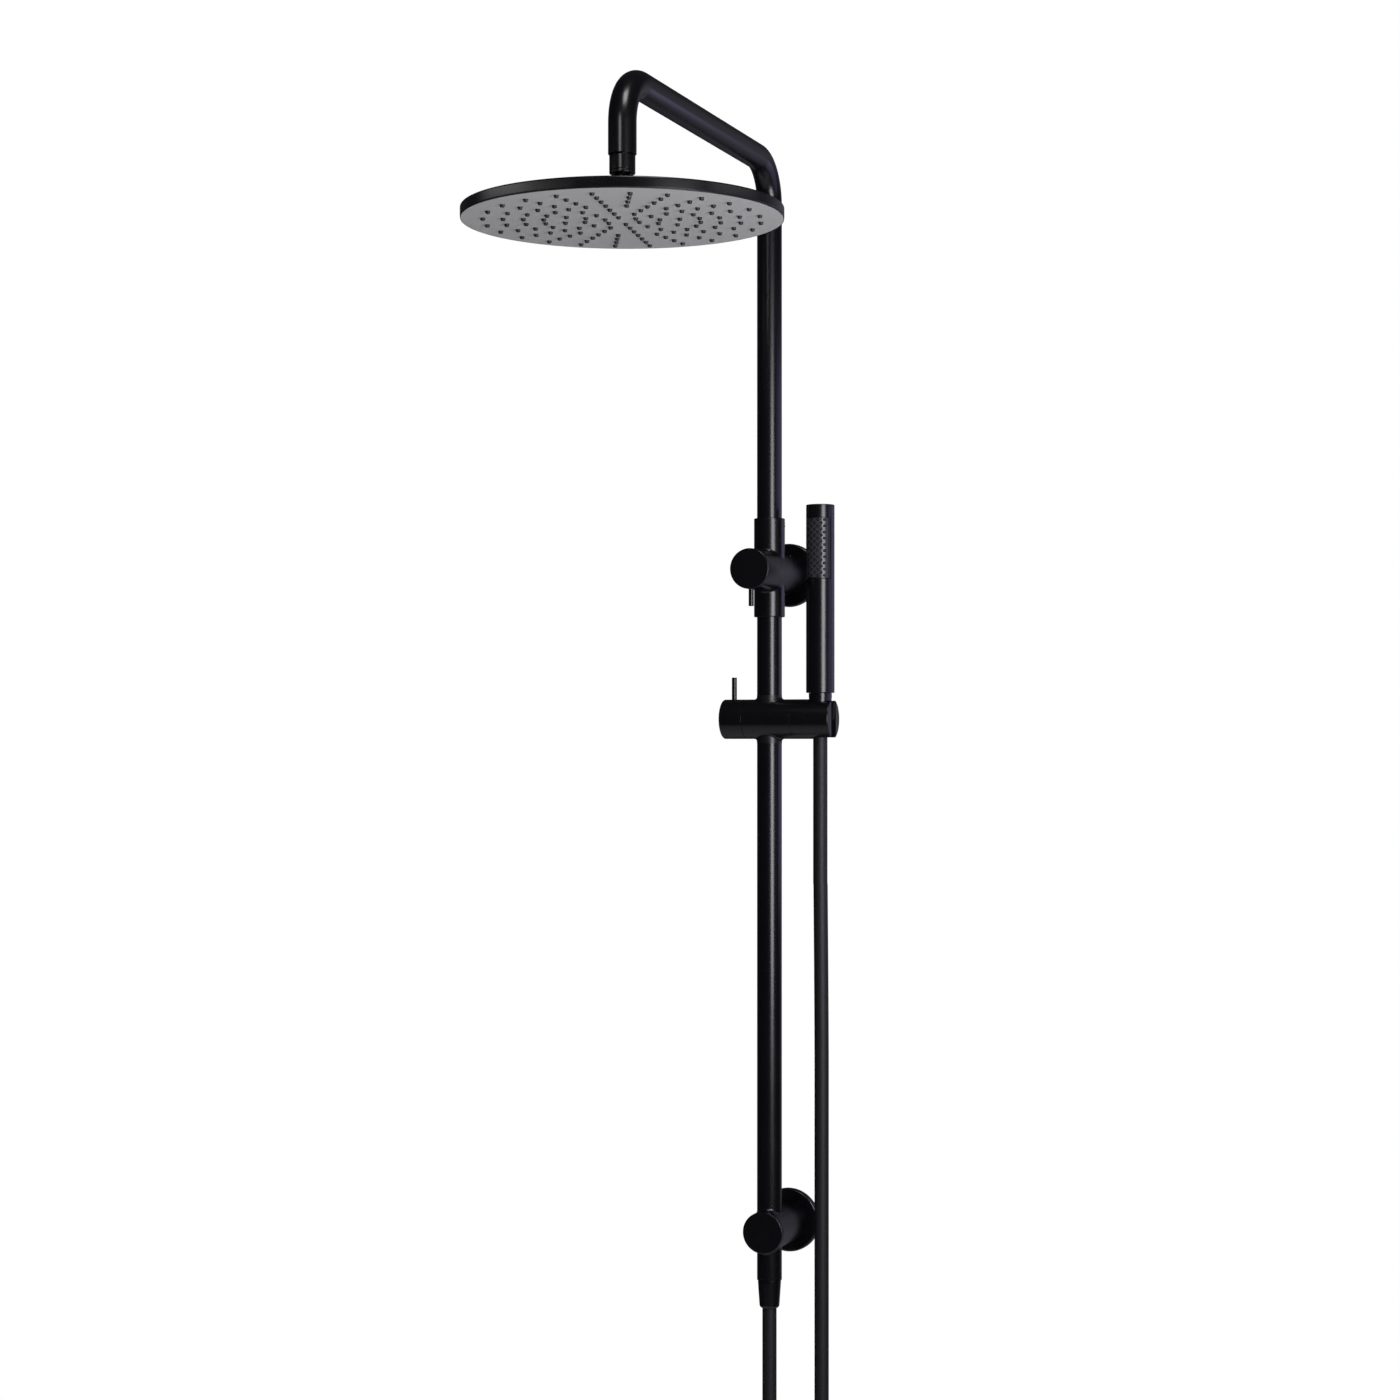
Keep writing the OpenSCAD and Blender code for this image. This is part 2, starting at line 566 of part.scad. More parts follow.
// Holder: the end of the barrel, with a tapered socket and a slot that lets the hose in
module holder_barrel() color(satin_black) difference() {
    at_rail() along_x(0, slider_z) {
        edged_rod(slider_r, holder_seam + seam_gap, holder_end, 0, 0.8);
    }
    at_rail() along_x(0, slider_z) {
        rod(pivot_d / 2 + run_play, holder_seam, holder_seam + 12);
        rod(pivot_head_d / 2 + 0.4, holder_seam + seam_gap + 7.4, handset_x - nut_tip_r);
    }
    at_handset() {
        translate([0, 0, handset_nut_z - hose_nut_len - seam_gap])
            cylinder(r1 = nut_tip_r + socket_gap, r2 = nut_r + socket_gap, h = hose_nut_len + seam_gap);
        rod(hose_d / 2 + 1, slider_z - slider_r - 1, slider_z);
        translate([0, -hose_d / 2 - 0.5, slider_z - slider_r - 1]) cube([slider_d, hose_d + 1, slider_d + 2]);
    }
}

// Handset: a tube on the hose nut, with a window for the spray plate
module handset_hose_nut() color(satin_black) at_handset() translate([0, 0, handset_nut_z]) hose_nut();
module handset_washer() color(black_rubber) at_handset() hose_washer(handset_z - thread_len - 0.5);
module handset_body() color(satin_black) at_handset() difference() {
    edged_rod(handset_r, handset_z, handset_z + handset_len - cap_t, 0.6, 0);
    rod(handset_in_r, handset_z - 1, handset_z + handset_len);
    window(handset_in_r - 2, handset_r + 1, 0, 0);
}
// A sector of a tube as high and as wide as the spray window less a margin
module window(r_in, r_out, margin, angle_margin) rotate([0, 0, -90 - spray_half + angle_margin])
    translate([0, 0, window_bottom + margin]) rotate_extrude(angle = 2 * (spray_half - angle_margin))
        translate([r_in, 0]) square([r_out - r_in, spray_h - 2 * margin]);
module spray_frame() color(plastic_black) at_handset() difference() {
    window(handset_in_r - 0.8, handset_r - 0.1, 0.1, 0.6);
    window(handset_in_r - 2, handset_r + 1, frame_w, frame_side);
}
pad_margin = frame_w + 0.1;
pad_r = handset_r - 0.3;
spray_cols = 6;
spray_rows = 10;
spray_step = 14;
spray_pitch = (spray_h - 2 * pad_margin - 3.4) / (spray_rows - 1);
module spray_nozzle_pad() color(black_rubber) at_handset() {
    window(handset_in_r - 0.8, pad_r, pad_margin, frame_side + 0.6);
    for (col = [0 : spray_cols - 1], row = [0 : spray_rows - 2 + col % 2])
        rotate([0, 0, -90 + (col - (spray_cols - 1) / 2) * spray_step])
            translate([0, 0, window_bottom + pad_margin + 1.7 + (row + (1 - col % 2) / 2) * spray_pitch])
                rotate([0, 90, 0]) rod(1, pad_r - 0.8, pad_r + 0.9);
}
module handset_top_cap() color(satin_black) at_handset() {
    edged_rod(handset_r, handset_z + handset_len - cap_t + fit_gap, handset_z + handset_len, 0, 0.8);
    rod(handset_in_r - fit_gap, handset_z + handset_len - cap_t - 5, handset_z + handset_len - cap_t + fit_gap);
}
module handset_inlet() color(brass) at_handset() difference() {
    union() {
        rod(handset_in_r - fit_gap, handset_z, handset_z + 12);
        rod(thread_d / 2, handset_z - thread_len - 0.4, handset_z);
    }
    rod(5, handset_z - thread_len - 1, handset_z + 13);
    rod(7, handset_z - thread_len - 1, handset_z + 2);
}
module handset_check_valve() color(white_plastic) at_handset()
    ring(7 - fit_gap, 3.5, handset_z - thread_len + 0.2, handset_z + 1.9);

upper_wall_flange();
wall_inlet_union();
inlet_washer();
diverter_body();
diverter_cartridge();
cartridge_nut();
sleeve_grub_screws();
rail();
rail_top_spigot();
rail_o_rings();
rail_outlet_nipple();
lower_bracket_body();
lower_bracket_cap();
rail_clamp_screw();
lower_wall_flange();
lower_fixing_plate();
bracket_grub_screw();
lower_hose_nut();
lower_hose_washer();
shower_hose();
gooseneck_arm();
arm_spigot();
arm_o_rings();
arm_outlet_nipple();
ball_seal_washer();
swivel_nut();
swivel_ball();
hub_washer();
head_shell();
head_face_plate();
nozzle_mat();
diverter_knob();
diverter_spindle();
diverter_lever();
slider_bushings();
slider_body();
slider_clamp_shoe();
holder_pivot_bolt();
holder_friction_washer();
slider_knob();
slider_lever();
slider_clamp_screw();
holder_barrel();
handset_hose_nut();
handset_washer();
handset_body();
handset_inlet();
handset_check_valve();
handset_top_cap();
spray_frame();
spray_nozzle_pad();
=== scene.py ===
# Rainfall shower column: the looks of each piece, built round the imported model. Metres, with
# +Z up, the wall at y = 0 and the room on the -y side.
import math

import bmesh
import bpy
from mathutils import Matrix, Vector


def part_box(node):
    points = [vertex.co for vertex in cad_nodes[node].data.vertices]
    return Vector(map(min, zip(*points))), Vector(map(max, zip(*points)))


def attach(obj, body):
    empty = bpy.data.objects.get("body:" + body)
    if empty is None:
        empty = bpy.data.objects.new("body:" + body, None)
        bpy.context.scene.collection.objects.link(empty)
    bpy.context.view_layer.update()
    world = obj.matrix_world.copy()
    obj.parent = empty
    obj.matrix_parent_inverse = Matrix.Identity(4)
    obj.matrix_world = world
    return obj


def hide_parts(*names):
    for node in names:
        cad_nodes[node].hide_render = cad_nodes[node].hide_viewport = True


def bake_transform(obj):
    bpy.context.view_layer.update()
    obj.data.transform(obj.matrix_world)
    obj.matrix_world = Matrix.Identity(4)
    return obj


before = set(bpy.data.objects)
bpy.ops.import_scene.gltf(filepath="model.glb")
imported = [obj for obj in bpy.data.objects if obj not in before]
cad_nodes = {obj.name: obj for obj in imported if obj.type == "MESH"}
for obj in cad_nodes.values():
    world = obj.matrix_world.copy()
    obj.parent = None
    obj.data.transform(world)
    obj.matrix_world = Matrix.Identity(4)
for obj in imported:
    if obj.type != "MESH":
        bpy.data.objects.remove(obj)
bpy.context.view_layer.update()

# Camera
# A long lens at a little above the slider's height, right of the column, looking level. The
# picture is shifted up a little so that the uprights stay upright.
camera_data = bpy.data.cameras.new("camera")
camera_data.lens = 70.7
camera_data.sensor_width = 36
camera_data.shift_y = 0.02815
camera = bpy.data.objects.new("camera", camera_data)
camera.location = (0.9677, -2.8999, -0.182)
camera.rotation_euler = (math.radians(90), 0, math.radians(20.326))
bpy.context.scene.collection.objects.link(camera)
bpy.context.scene.camera = camera
bpy.context.scene.view_settings.view_transform = "Standard"

# Shower hose
# Extruded vinyl hose with a smooth matt skin, 1.5 m from the lower outlet to the handset. It
# hangs straight from both ends and turns in one loose loop below. It is drawn in stretches that
# part where the holder swivels and tilts and where the handset lifts.
MM = 0.001
hose_width = 15.5 * MM
hose_depth = -70 * MM
hose_route = [[0, -785], [0, -840], [0, -900], [0, -960], [0, -1010], [-2, -1030], [-9, -1050],
    [-20, -1067], [-32, -1089], [-34.5, -1113], [-28, -1137], [-13, -1156], [7, -1168],
    [29, -1172], [51, -1168], [71, -1156], [86, -1137], [92.5, -1113], [90, -1089], [78, -1067],
    [67, -1050], [61, -1030], [59.5, -1010], [59.5, -940], [59.5, -860], [59.5, -780],
    [59.5, -700], [59.5, -610], [59.5, -520], [59, -430], [58.3, -340], [58, -250], [58, -200],
    [58, -147]]
hose_points = [Vector((x * MM, hose_depth, z * MM)) for x, z in hose_route]


def linear(colour):
    """An sRGB hex colour as linear red, green, blue and alpha"""
    parts = [int(colour[k:k + 2], 16) / 255 for k in (1, 3, 5)]
    return [p / 12.92 if p <= 0.04045 else ((p + 0.055) / 1.055) ** 2.4 for p in parts] + [1]


def add_node(tree, kind, inputs=None, **settings):
    """A node with its settings, and a value or a link for each named input"""
    made = tree.nodes.new(kind)
    for name, value in settings.items():
        setattr(made, name, value)
    for name, value in (inputs or {}).items():
        if isinstance(value, bpy.types.NodeSocket):
            tree.links.new(value, made.inputs[name])
        else:
            made.inputs[name].default_value = value
    return made


def new_material(name):
    """An empty material with its output node, and the object's own coordinates"""
    material = bpy.data.materials.new(name)
    material.use_nodes = True
    tree = material.node_tree
    tree.nodes.clear()
    output = add_node(tree, "ShaderNodeOutputMaterial")
    place = add_node(tree, "ShaderNodeTexCoord").outputs["Object"]
    return material, tree, output.inputs["Surface"], place


def hose_vinyl():
    """Soft vinyl, extruded: matt, with faint long die lines and a fine matt grain of 1.5 mm"""
    material, tree, surface, place = new_material("extruded_vinyl")
    along = add_node(tree, "ShaderNodeMapping", {"Vector": place, "Scale": (900, 900, 30)})
    lines = add_node(tree, "ShaderNodeTexNoise", {"Vector": along.outputs["Vector"], "Scale": 1.0})
    grain = add_node(tree, "ShaderNodeTexNoise",
        {"Vector": place, "Scale": 1 / (1.5 * MM), "Detail": 3})
    shade = add_node(tree, "ShaderNodeMix", {"Factor": lines.outputs["Fac"],
        "A": linear("#0c0c0e"), "B": linear("#111114")}, data_type="RGBA")
    rough = add_node(tree, "ShaderNodeMapRange",
        {"Value": grain.outputs["Fac"], "To Min": 0.5, "To Max": 0.62})
    bump = add_node(tree, "ShaderNodeBump",
        {"Height": grain.outputs["Fac"], "Strength": 0.12, "Distance": 0.2 * MM})
    skin = add_node(tree, "ShaderNodeBsdfPrincipled", {"Base Color": shade.outputs["Result"],
        "Roughness": rough.outputs["Result"], "Normal": bump.outputs["Normal"], "IOR": 1.5})
    tree.links.new(skin.outputs["BSDF"], surface)
    return material


vinyl = hose_vinyl()


def hose_line(low_step, high_step, parts=6):
    """The smooth line through the route's points, from one step of the route to another"""
    line = []
    for k in range(low_step, high_step):
        a, b, c, d = [hose_points[min(max(k + i, 0), len(hose_points) - 1)]
            for i in (-1, 0, 1, 2)]
        for t in [i / parts for i in range(parts)]:
            line.append(0.5 * (2 * b + (c - a) * t + (2 * a - 5 * b + 4 * c - d) * t * t
                + (3 * b - a - 3 * c + d) * t ** 3))
    return line + [hose_points[high_step]]


def hose_stretch(name, line):
    """One stretch of the hose, a closed tube along a line of points"""
    curve = bpy.data.curves.new(name, "CURVE")
    curve.dimensions = "3D"
    spline = curve.splines.new("POLY")
    spline.points.add(len(line) - 1)
    for point, place in zip(spline.points, line):
        point.co = (*place, 1)
    curve.bevel_depth = hose_width / 2
    curve.bevel_resolution = 8
    curve.use_fill_caps = True
    drawn = bpy.data.objects.new(name, curve)
    bpy.context.scene.collection.objects.link(drawn)
    drawn_now = drawn.evaluated_get(bpy.context.evaluated_depsgraph_get())
    mesh = bpy.data.meshes.new_from_object(drawn_now)
    bpy.data.objects.remove(drawn)
    mesh.shade_smooth()
    mesh.materials.clear()
    mesh.materials.append(vinyl)
    piece = bpy.data.objects.new(name, mesh)
    bpy.context.scene.collection.objects.link(piece)
    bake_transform(piece)
    return piece


leg_x, leg_top = hose_points[-1].x, hose_points[-1].z
swivel_start, tilt_start, lift_start = -285 * MM, -230 * MM, -187 * MM


def leg(low, high, step=4 * MM):
    """The straight part of the hose under the handset, from one height to another"""
    count = max(2, round((high - low) / step))
    return [Vector((leg_x, hose_depth, low + (high - low) * i / count)) for i in range(count + 1)]


# The main stretch runs from the lower nut, round the loop and up the leg to the swivel's stretch.
below_leg = hose_line(0, len(hose_route) - 4)
main_line = below_leg + leg(below_leg[-1].z, swivel_start)[1:]
hose = hose_stretch("hose_main", main_line)
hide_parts("shower_hose")
for name, body_a, body_b, low, high in [
        ("hose_at_slider", "carriage", "slider", swivel_start, tilt_start),
        ("hose_at_holder", "slider", "holder", tilt_start, lift_start),
        ("hose_in_holder", "holder", "hose_end", lift_start, leg_top)]:
    hose_stretch(name, leg(low, high))

# Studio
# A pale floor where a bathroom's would be, and a plain white room that black gloss mirrors as
# dark. Soft boxes stand at the right, beside the wall and overhead, a weak one lies on the
# floor, and small ones catch the rain head.
floor_r, floor_y, floor_z = 2.2, -0.3, -1.8
floor_mesh = bpy.data.meshes.new("floor")
floor_shape = bmesh.new()
bmesh.ops.create_circle(floor_shape, cap_ends=True, segments=96, radius=floor_r,
    matrix=Matrix.Translation((0, floor_y, floor_z)))
floor_shape.to_mesh(floor_mesh)
floor_shape.free()
floor = bpy.data.objects.new("floor", floor_mesh)
bpy.context.scene.collection.objects.link(floor)


def floor_paint():
    """Matt white floor paint with a very faint roller texture of 8 mm. It looks pale to the
    camera in the low light of the room, and still takes a shadow."""
    material, tree, surface, place = new_material("matt_floor_paint")
    roller = add_node(tree, "ShaderNodeTexNoise", {"Vector": place, "Scale": 1 / (8 * MM)})
    shade = add_node(tree, "ShaderNodeMix", {"Factor": roller.outputs["Fac"],
        "A": linear("#e6e6e6"), "B": linear("#ececec")}, data_type="RGBA")
    paint = add_node(tree, "ShaderNodeBsdfDiffuse", {"Color": shade.outputs["Result"]})
    ray = add_node(tree, "ShaderNodeLightPath")
    seen = add_node(tree, "ShaderNodeMath", {0: ray.outputs["Is Camera Ray"], 1: 0.5},
        operation="MULTIPLY")
    glow = add_node(tree, "ShaderNodeEmission",
        {"Color": shade.outputs["Result"], "Strength": seen.outputs["Value"]})
    both = add_node(tree, "ShaderNodeAddShader",
        {0: paint.outputs["BSDF"], 1: glow.outputs["Emission"]})
    tree.links.new(both.outputs["Shader"], surface)
    return material


floor_mesh.materials.append(floor_paint())


def studio_room():
    """A world that is white to the camera. In reflections it is dark, dusky behind the wall, and
    darkest towards the floor."""
    world = bpy.data.worlds.new("studio")
    world.use_nodes = True
    tree = world.node_tree
    tree.nodes.clear()
    way = add_node(tree, "ShaderNodeTexCoord").outputs["Generated"]
    to_wall = add_node(tree, "ShaderNodeVectorMath", {0: way, 1: (0.2, 0.965, -0.17)},
        operation="DOT_PRODUCT")
    wall_dusk = add_node(tree, "ShaderNodeMapRange", {"Value": to_wall.outputs["Value"],
        "From Min": 0.78, "From Max": 0.98, "To Min": 0.04, "To Max": 0.25},
        interpolation_type="SMOOTHSTEP")
    parts = add_node(tree, "ShaderNodeSeparateXYZ", {"Vector": way})
    floor_dusk = add_node(tree, "ShaderNodeMapRange", {"Value": parts.outputs["Z"],
        "From Min": -0.6, "From Max": -0.2, "To Min": 0.3, "To Max": 1.0},
        interpolation_type="SMOOTHSTEP")
    dusk = add_node(tree, "ShaderNodeMath",
        {0: wall_dusk.outputs["Result"], 1: floor_dusk.outputs["Result"]}, operation="MULTIPLY")
    room = add_node(tree, "ShaderNodeBackground",
        {"Color": linear("#e6e2f6"), "Strength": dusk.outputs["Value"]})
    backdrop = add_node(tree, "ShaderNodeBackground", {"Color": (1, 1, 1, 1), "Strength": 1.0})
    ray = add_node(tree, "ShaderNodeLightPath")
    seen = add_node(tree, "ShaderNodeMath", {0: ray.outputs["Is Camera Ray"],
        1: ray.outputs["Is Transmission Ray"]}, operation="MAXIMUM")
    both = add_node(tree, "ShaderNodeMixShader", {0: seen.outputs["Value"],
        1: room.outputs["Background"], 2: backdrop.outputs["Background"]})
    add_node(tree, "ShaderNodeOutputWorld", {"Surface": both.outputs["Shader"]})
    bpy.context.scene.world = world


def soft_box(name, place, aim, width, height, radiance, colour="#ffffff", spread=180):
    """A rectangular lamp that faces a point, unseen by the camera itself. A grid may narrow its
    spread, which leaves the radiance straight ahead as it was."""
    data = bpy.data.lights.new(name, "AREA")
    data.shape = "RECTANGLE"
    data.size, data.size_y = width, height
    data.energy = radiance * math.pi * width * height
    if spread < 180:
        half = math.radians(spread / 2)
        data.energy *= 1 - half / math.tan(half)
    data.color = linear(colour)[:3]
    data.spread = math.radians(spread)
    lamp = bpy.data.objects.new(name, data)
    lamp.location = place
    lamp.rotation_euler = (Vector(aim) - Vector(place)).to_track_quat("-Z", "Y").to_euler()
    lamp.visible_camera = False
    bpy.context.scene.collection.objects.link(lamp)


studio_room()
soft_box("side_box", (1.06, -1.13, -0.11), (0, -0.07, -0.11), 0.62, 0.98, 9.5, "#f8f6ff")
soft_box("wall_side_box", (0.80, 0.36, -0.02), (0.03, -0.07, -0.02), 1.15, 0.76, 0.8, "#cfc4ff")
soft_box("overhead", (0.9, -1.5, 2.3), (0, -0.1, -0.2), 1.0, 1.0, 9)
soft_box("floor_glow", (0.2, -0.6, -1.78), (0.2, -0.6, 0), 3.2, 3.2, 0.13)
soft_box("drop_box", (0.02, -0.89, 0.48), (0, -0.5, 0.4), 0.1, 0.13, 8, spread=36)
soft_box("rim_box_left", (-0.27, -0.75, 0.37), (0.2, -0.5, 0.27), 0.5, 0.03, 3.3, spread=70)
soft_box("rim_box_front", (-0.16, -1.0, 0.385), (0.02, -0.6, 0.3), 0.2, 0.03, 1.2, spread=60)
soft_box("rim_box_right", (0.34, -0.46, 0.37), (0, -0.52, 0.3), 0.3, 0.03, 1.4, spread=70)

# Wall flanges
# Two shallow cups spun from brass sheet with a rolled front edge, powder coated. Each slides over
# its barrel and hides the wall fixing behind it.


def black_coat():
    """Matt black powder coat on brass: a fine orange peel, drawn at 2.5 mm so that it shows, and
    slow changes of gloss where the powder lay thicker"""
    material, tree, surface, place = new_material("black_powder_coat")
    slow = add_node(tree, "ShaderNodeTexNoise",
        {"Vector": place, "Scale": 1 / (60 * MM), "Detail": 2})
    peel = add_node(tree, "ShaderNodeTexNoise",
        {"Vector": place, "Scale": 1 / (2.5 * MM), "Detail": 2})
    shade = add_node(tree, "ShaderNodeMix", {"Factor": slow.outputs["Fac"],
        "A": linear("#070709"), "B": linear("#0c0c0f")}, data_type="RGBA")
    rough = add_node(tree, "ShaderNodeMapRange",
        {"Value": slow.outputs["Fac"], "To Min": 0.22, "To Max": 0.29})
    bump = add_node(tree, "ShaderNodeBump",
        {"Height": peel.outputs["Fac"], "Strength": 0.035, "Distance": 0.1 * MM})
    coat = add_node(tree, "ShaderNodeBsdfPrincipled", {"Base Color": shade.outputs["Result"],
        "Roughness": rough.outputs["Result"], "Normal": bump.outputs["Normal"], "IOR": 1.5})
    tree.links.new(coat.outputs["BSDF"], surface)
    return material


coat = black_coat()
upright = Matrix.Identity(4)
to_room = Matrix.Rotation(math.radians(90), 4, "X")


def span(node):
    """The lowest and highest corner of a CAD node in millimetres"""
    return [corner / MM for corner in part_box(node)]


def middle_of(node):
    """The middle of a CAD node's box in millimetres"""
    low, high = span(node)
    return (low + high) / 2


def radius_of(node):
    """Half the width of a CAD node from left to right, in millimetres"""
    low, high = span(node)
    return (high.x - low.x) / 2


def turned(outline, steps=96, closed=True):
    """A shape turned round the z axis from corners (radius, height, rounding), in millimetres"""
    shape = bmesh.new()
    corners = [shape.verts.new((r, 0, z)) for r, z, rounding in outline]
    for a, b in zip(corners, corners[1:]):
        shape.edges.new((a, b))
    if closed:
        shape.edges.new((corners[-1], corners[0]))
    for corner, (r, z, rounding) in zip(corners, outline):
        if rounding:
            bmesh.ops.bevel(shape, geom=[corner], offset=rounding, offset_type="OFFSET",
                segments=5, profile=0.5, affect="VERTICES", clamp_overlap=False, material=-1)
    bmesh.ops.spin(shape, geom=shape.verts[:] + shape.edges[:], cent=(0, 0, 0), axis=(0, 0, 1),
        dvec=(0, 0, 0), angle=math.tau, steps=steps, use_merge=True, use_duplicate=False)
    bmesh.ops.remove_doubles(shape, verts=shape.verts, dist=0.001)
    bmesh.ops.recalc_face_normals(shape, faces=shape.faces)
    return shape


def finished(name, shape, material, body, node_names, turn=upright, at=(0, 0, 0), crisp=35):
    """A shape put in its place as a piece that rides on a body and stands for CAD nodes. Edges
    sharper than `crisp` degrees stay crisp."""
    bmesh.ops.transform(shape, verts=shape.verts,
        matrix=Matrix.Scale(MM, 4) @ Matrix.Translation(at) @ turn)
    for face in shape.faces:
        face.smooth = True
    for edge in shape.edges:
        edge.smooth = len(edge.link_faces) == 2 and edge.calc_face_angle(0) < math.radians(crisp)
    mesh = bpy.data.meshes.new(name)
    shape.to_mesh(mesh)
    shape.free()
    mesh.materials.append(material)
    piece = bpy.data.objects.new(name, mesh)
    bpy.context.scene.collection.objects.link(piece)
    weighted = piece.modifiers.new("even_shading", "WEIGHTED_NORMAL")
    weighted.keep_sharp = True
    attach(piece, body)
    if node_names:
        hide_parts(*node_names)
    return piece


flange_wall, slip_fit = 1.6, 0.05
for node, barrel_node in (
        ("upper_wall_flange", "diverter_body"), ("lower_wall_flange", "lower_bracket_body")):
    low, high = span(node)
    rim_r, depth, hole_r = radius_of(node), high.y - low.y, radius_of(barrel_node) + slip_fit
    cup = turned([(hole_r, depth, 0.15), (rim_r, depth, 2.4), (rim_r, 0, 0.3),
        (rim_r - flange_wall, 0, 0.3), (rim_r - flange_wall, depth - flange_wall, 1.2),
        (hole_r, depth - flange_wall, 0.15)], steps=128)
    finished(node + "_spun", cup, coat, "root", [node], to_room,
        (middle_of(node).x, high.y, middle_of(node).z))

# Wall unions, spigots and other turned brass
# The water passes through these machined parts. They are soldered or screwed inside the black
# pieces, and only their edges and bores are seen. Their screws and the fixing plate are steel.


def dress(material, *nodes):
    """Gives CAD nodes their finish"""
    for node in nodes:
        for place in cad_nodes[node].material_slots:
            place.material = material


def turned_brass():
    """Free-cutting brass off the lathe: fine tool rings, drawn at 0.9 mm, and a slight tarnish"""
    material, tree, surface, place = new_material("turned_brass")
    full_wave = 0.314  # metres from ring to ring of a wave whose scale is 1
    rings = add_node(tree, "ShaderNodeTexWave", {"Vector": place,
        "Scale": full_wave / (0.9 * MM), "Distortion": 0.4}, bands_direction="Z")
    stain = add_node(tree, "ShaderNodeTexNoise",
        {"Vector": place, "Scale": 1 / (9 * MM), "Detail": 3})
    shade = add_node(tree, "ShaderNodeMix", {"Factor": stain.outputs["Fac"],
        "A": linear("#b8924a"), "B": linear("#a37a3c")}, data_type="RGBA")
    rough = add_node(tree, "ShaderNodeMapRange",
        {"Value": stain.outputs["Fac"], "To Min": 0.24, "To Max": 0.42})
    bump = add_node(tree, "ShaderNodeBump",
        {"Height": rings.outputs["Fac"], "Strength": 0.15, "Distance": 0.05 * MM})
    metal = add_node(tree, "ShaderNodeBsdfPrincipled", {"Base Color": shade.outputs["Result"],
        "Roughness": rough.outputs["Result"], "Normal": bump.outputs["Normal"], "Metallic": 1.0})
    tree.links.new(metal.outputs["BSDF"], surface)
    return material


def stainless_steel():
    """Machined stainless steel of screws and plates, with a faint grain of 0.8 mm"""
    material, tree, surface, place = new_material("machined_stainless_steel")
    grain = add_node(tree, "ShaderNodeTexNoise",
        {"Vector": place, "Scale": 1 / (0.8 * MM), "Detail": 2})
    shade = add_node(tree, "ShaderNodeMix", {"Factor": grain.outputs["Fac"],
        "A": linear("#a3a4a7"), "B": linear("#8d8f93")}, data_type="RGBA")
    rough = add_node(tree, "ShaderNodeMapRange",
        {"Value": grain.outputs["Fac"], "To Min": 0.26, "To Max": 0.38})
    metal = add_node(tree, "ShaderNodeBsdfPrincipled", {"Base Color": shade.outputs["Result"],
        "Roughness": rough.outputs["Result"], "Metallic": 1.0})
    tree.links.new(metal.outputs["BSDF"], surface)
    return material


dress(turned_brass(), "wall_inlet_union", "cartridge_nut", "rail_top_spigot", "arm_spigot",
    "diverter_spindle", "slider_clamp_shoe", "slider_clamp_screw")
dress(stainless_steel(), "lower_fixing_plate", "rail_clamp_screw", "bracket_grub_screw",
    "sleeve_grub_screws", "holder_pivot_bolt")
dress(coat, "rail_outlet_nipple", "arm_outlet_nipple", "handset_inlet")

# Seals and moulded inner parts
# Washers and O rings of moulded nitrile rubber, and a cartridge, check valve and friction washer
# of injection-moulded white acetal.


def moulded(name, dark, light, low_rough, high_rough, grain_size):
    """A moulded part: a fine even mould texture and slow changes of gloss from the flow"""
    material, tree, surface, place = new_material(name)
    flow = add_node(tree, "ShaderNodeTexNoise",
        {"Vector": place, "Scale": 1 / (14 * MM), "Detail": 2})
    grain = add_node(tree, "ShaderNodeTexNoise",
        {"Vector": place, "Scale": 1 / grain_size, "Detail": 2})
    shade = add_node(tree, "ShaderNodeMix",
        {"Factor": flow.outputs["Fac"], "A": linear(dark), "B": linear(light)}, data_type="RGBA")
    rough = add_node(tree, "ShaderNodeMapRange",
        {"Value": flow.outputs["Fac"], "To Min": low_rough, "To Max": high_rough})
    bump = add_node(tree, "ShaderNodeBump",
        {"Height": grain.outputs["Fac"], "Strength": 0.2, "Distance": 0.04 * MM})
    skin = add_node(tree, "ShaderNodeBsdfPrincipled", {"Base Color": shade.outputs["Result"],
        "Roughness": rough.outputs["Result"], "Normal": bump.outputs["Normal"], "IOR": 1.48})
    tree.links.new(skin.outputs["BSDF"], surface)
    return material


rubber = moulded("moulded_nitrile_rubber", "#0f0f10", "#161617", 0.55, 0.7, 0.6 * MM)
white_acetal = moulded("moulded_white_acetal", "#d2d2cc", "#dcdcd7", 0.34, 0.44, 0.8 * MM)
dress(rubber, "inlet_washer", "rail_o_rings", "arm_o_rings", "lower_hose_washer",
    "ball_seal_washer", "hub_washer", "handset_washer")
dress(white_acetal, "diverter_cartridge", "handset_check_valve", "holder_friction_washer")

# Diverter body
# A brass casting, bored and turned: an upright sleeve for both tubes, crossed by the barrel that
# comes off the wall. The two meet in a soft cast fillet.


def carved(base, added=(), cut=()):
    """A closed shape with other closed shapes added to it or cut out of it"""
    objects = []
    for shape in (base, *added, *cut):
        mesh = bpy.data.meshes.new("blank")
        shape.to_mesh(mesh)
        shape.free()
        objects.append(bpy.data.objects.new("blank", mesh))
        bpy.context.scene.collection.objects.link(objects[-1])
    for k, tool in enumerate(objects[1:]):
        step = objects[0].modifiers.new("step", "BOOLEAN")
        step.operation = "UNION" if k < len(added) else "DIFFERENCE"
        step.solver = "EXACT"
        step.object = tool
    carved_now = objects[0].evaluated_get(bpy.context.evaluated_depsgraph_get())
    result = bmesh.new()
    result.from_mesh(bpy.data.meshes.new_from_object(carved_now))
    for made in objects:
        bpy.data.objects.remove(made)
    return result


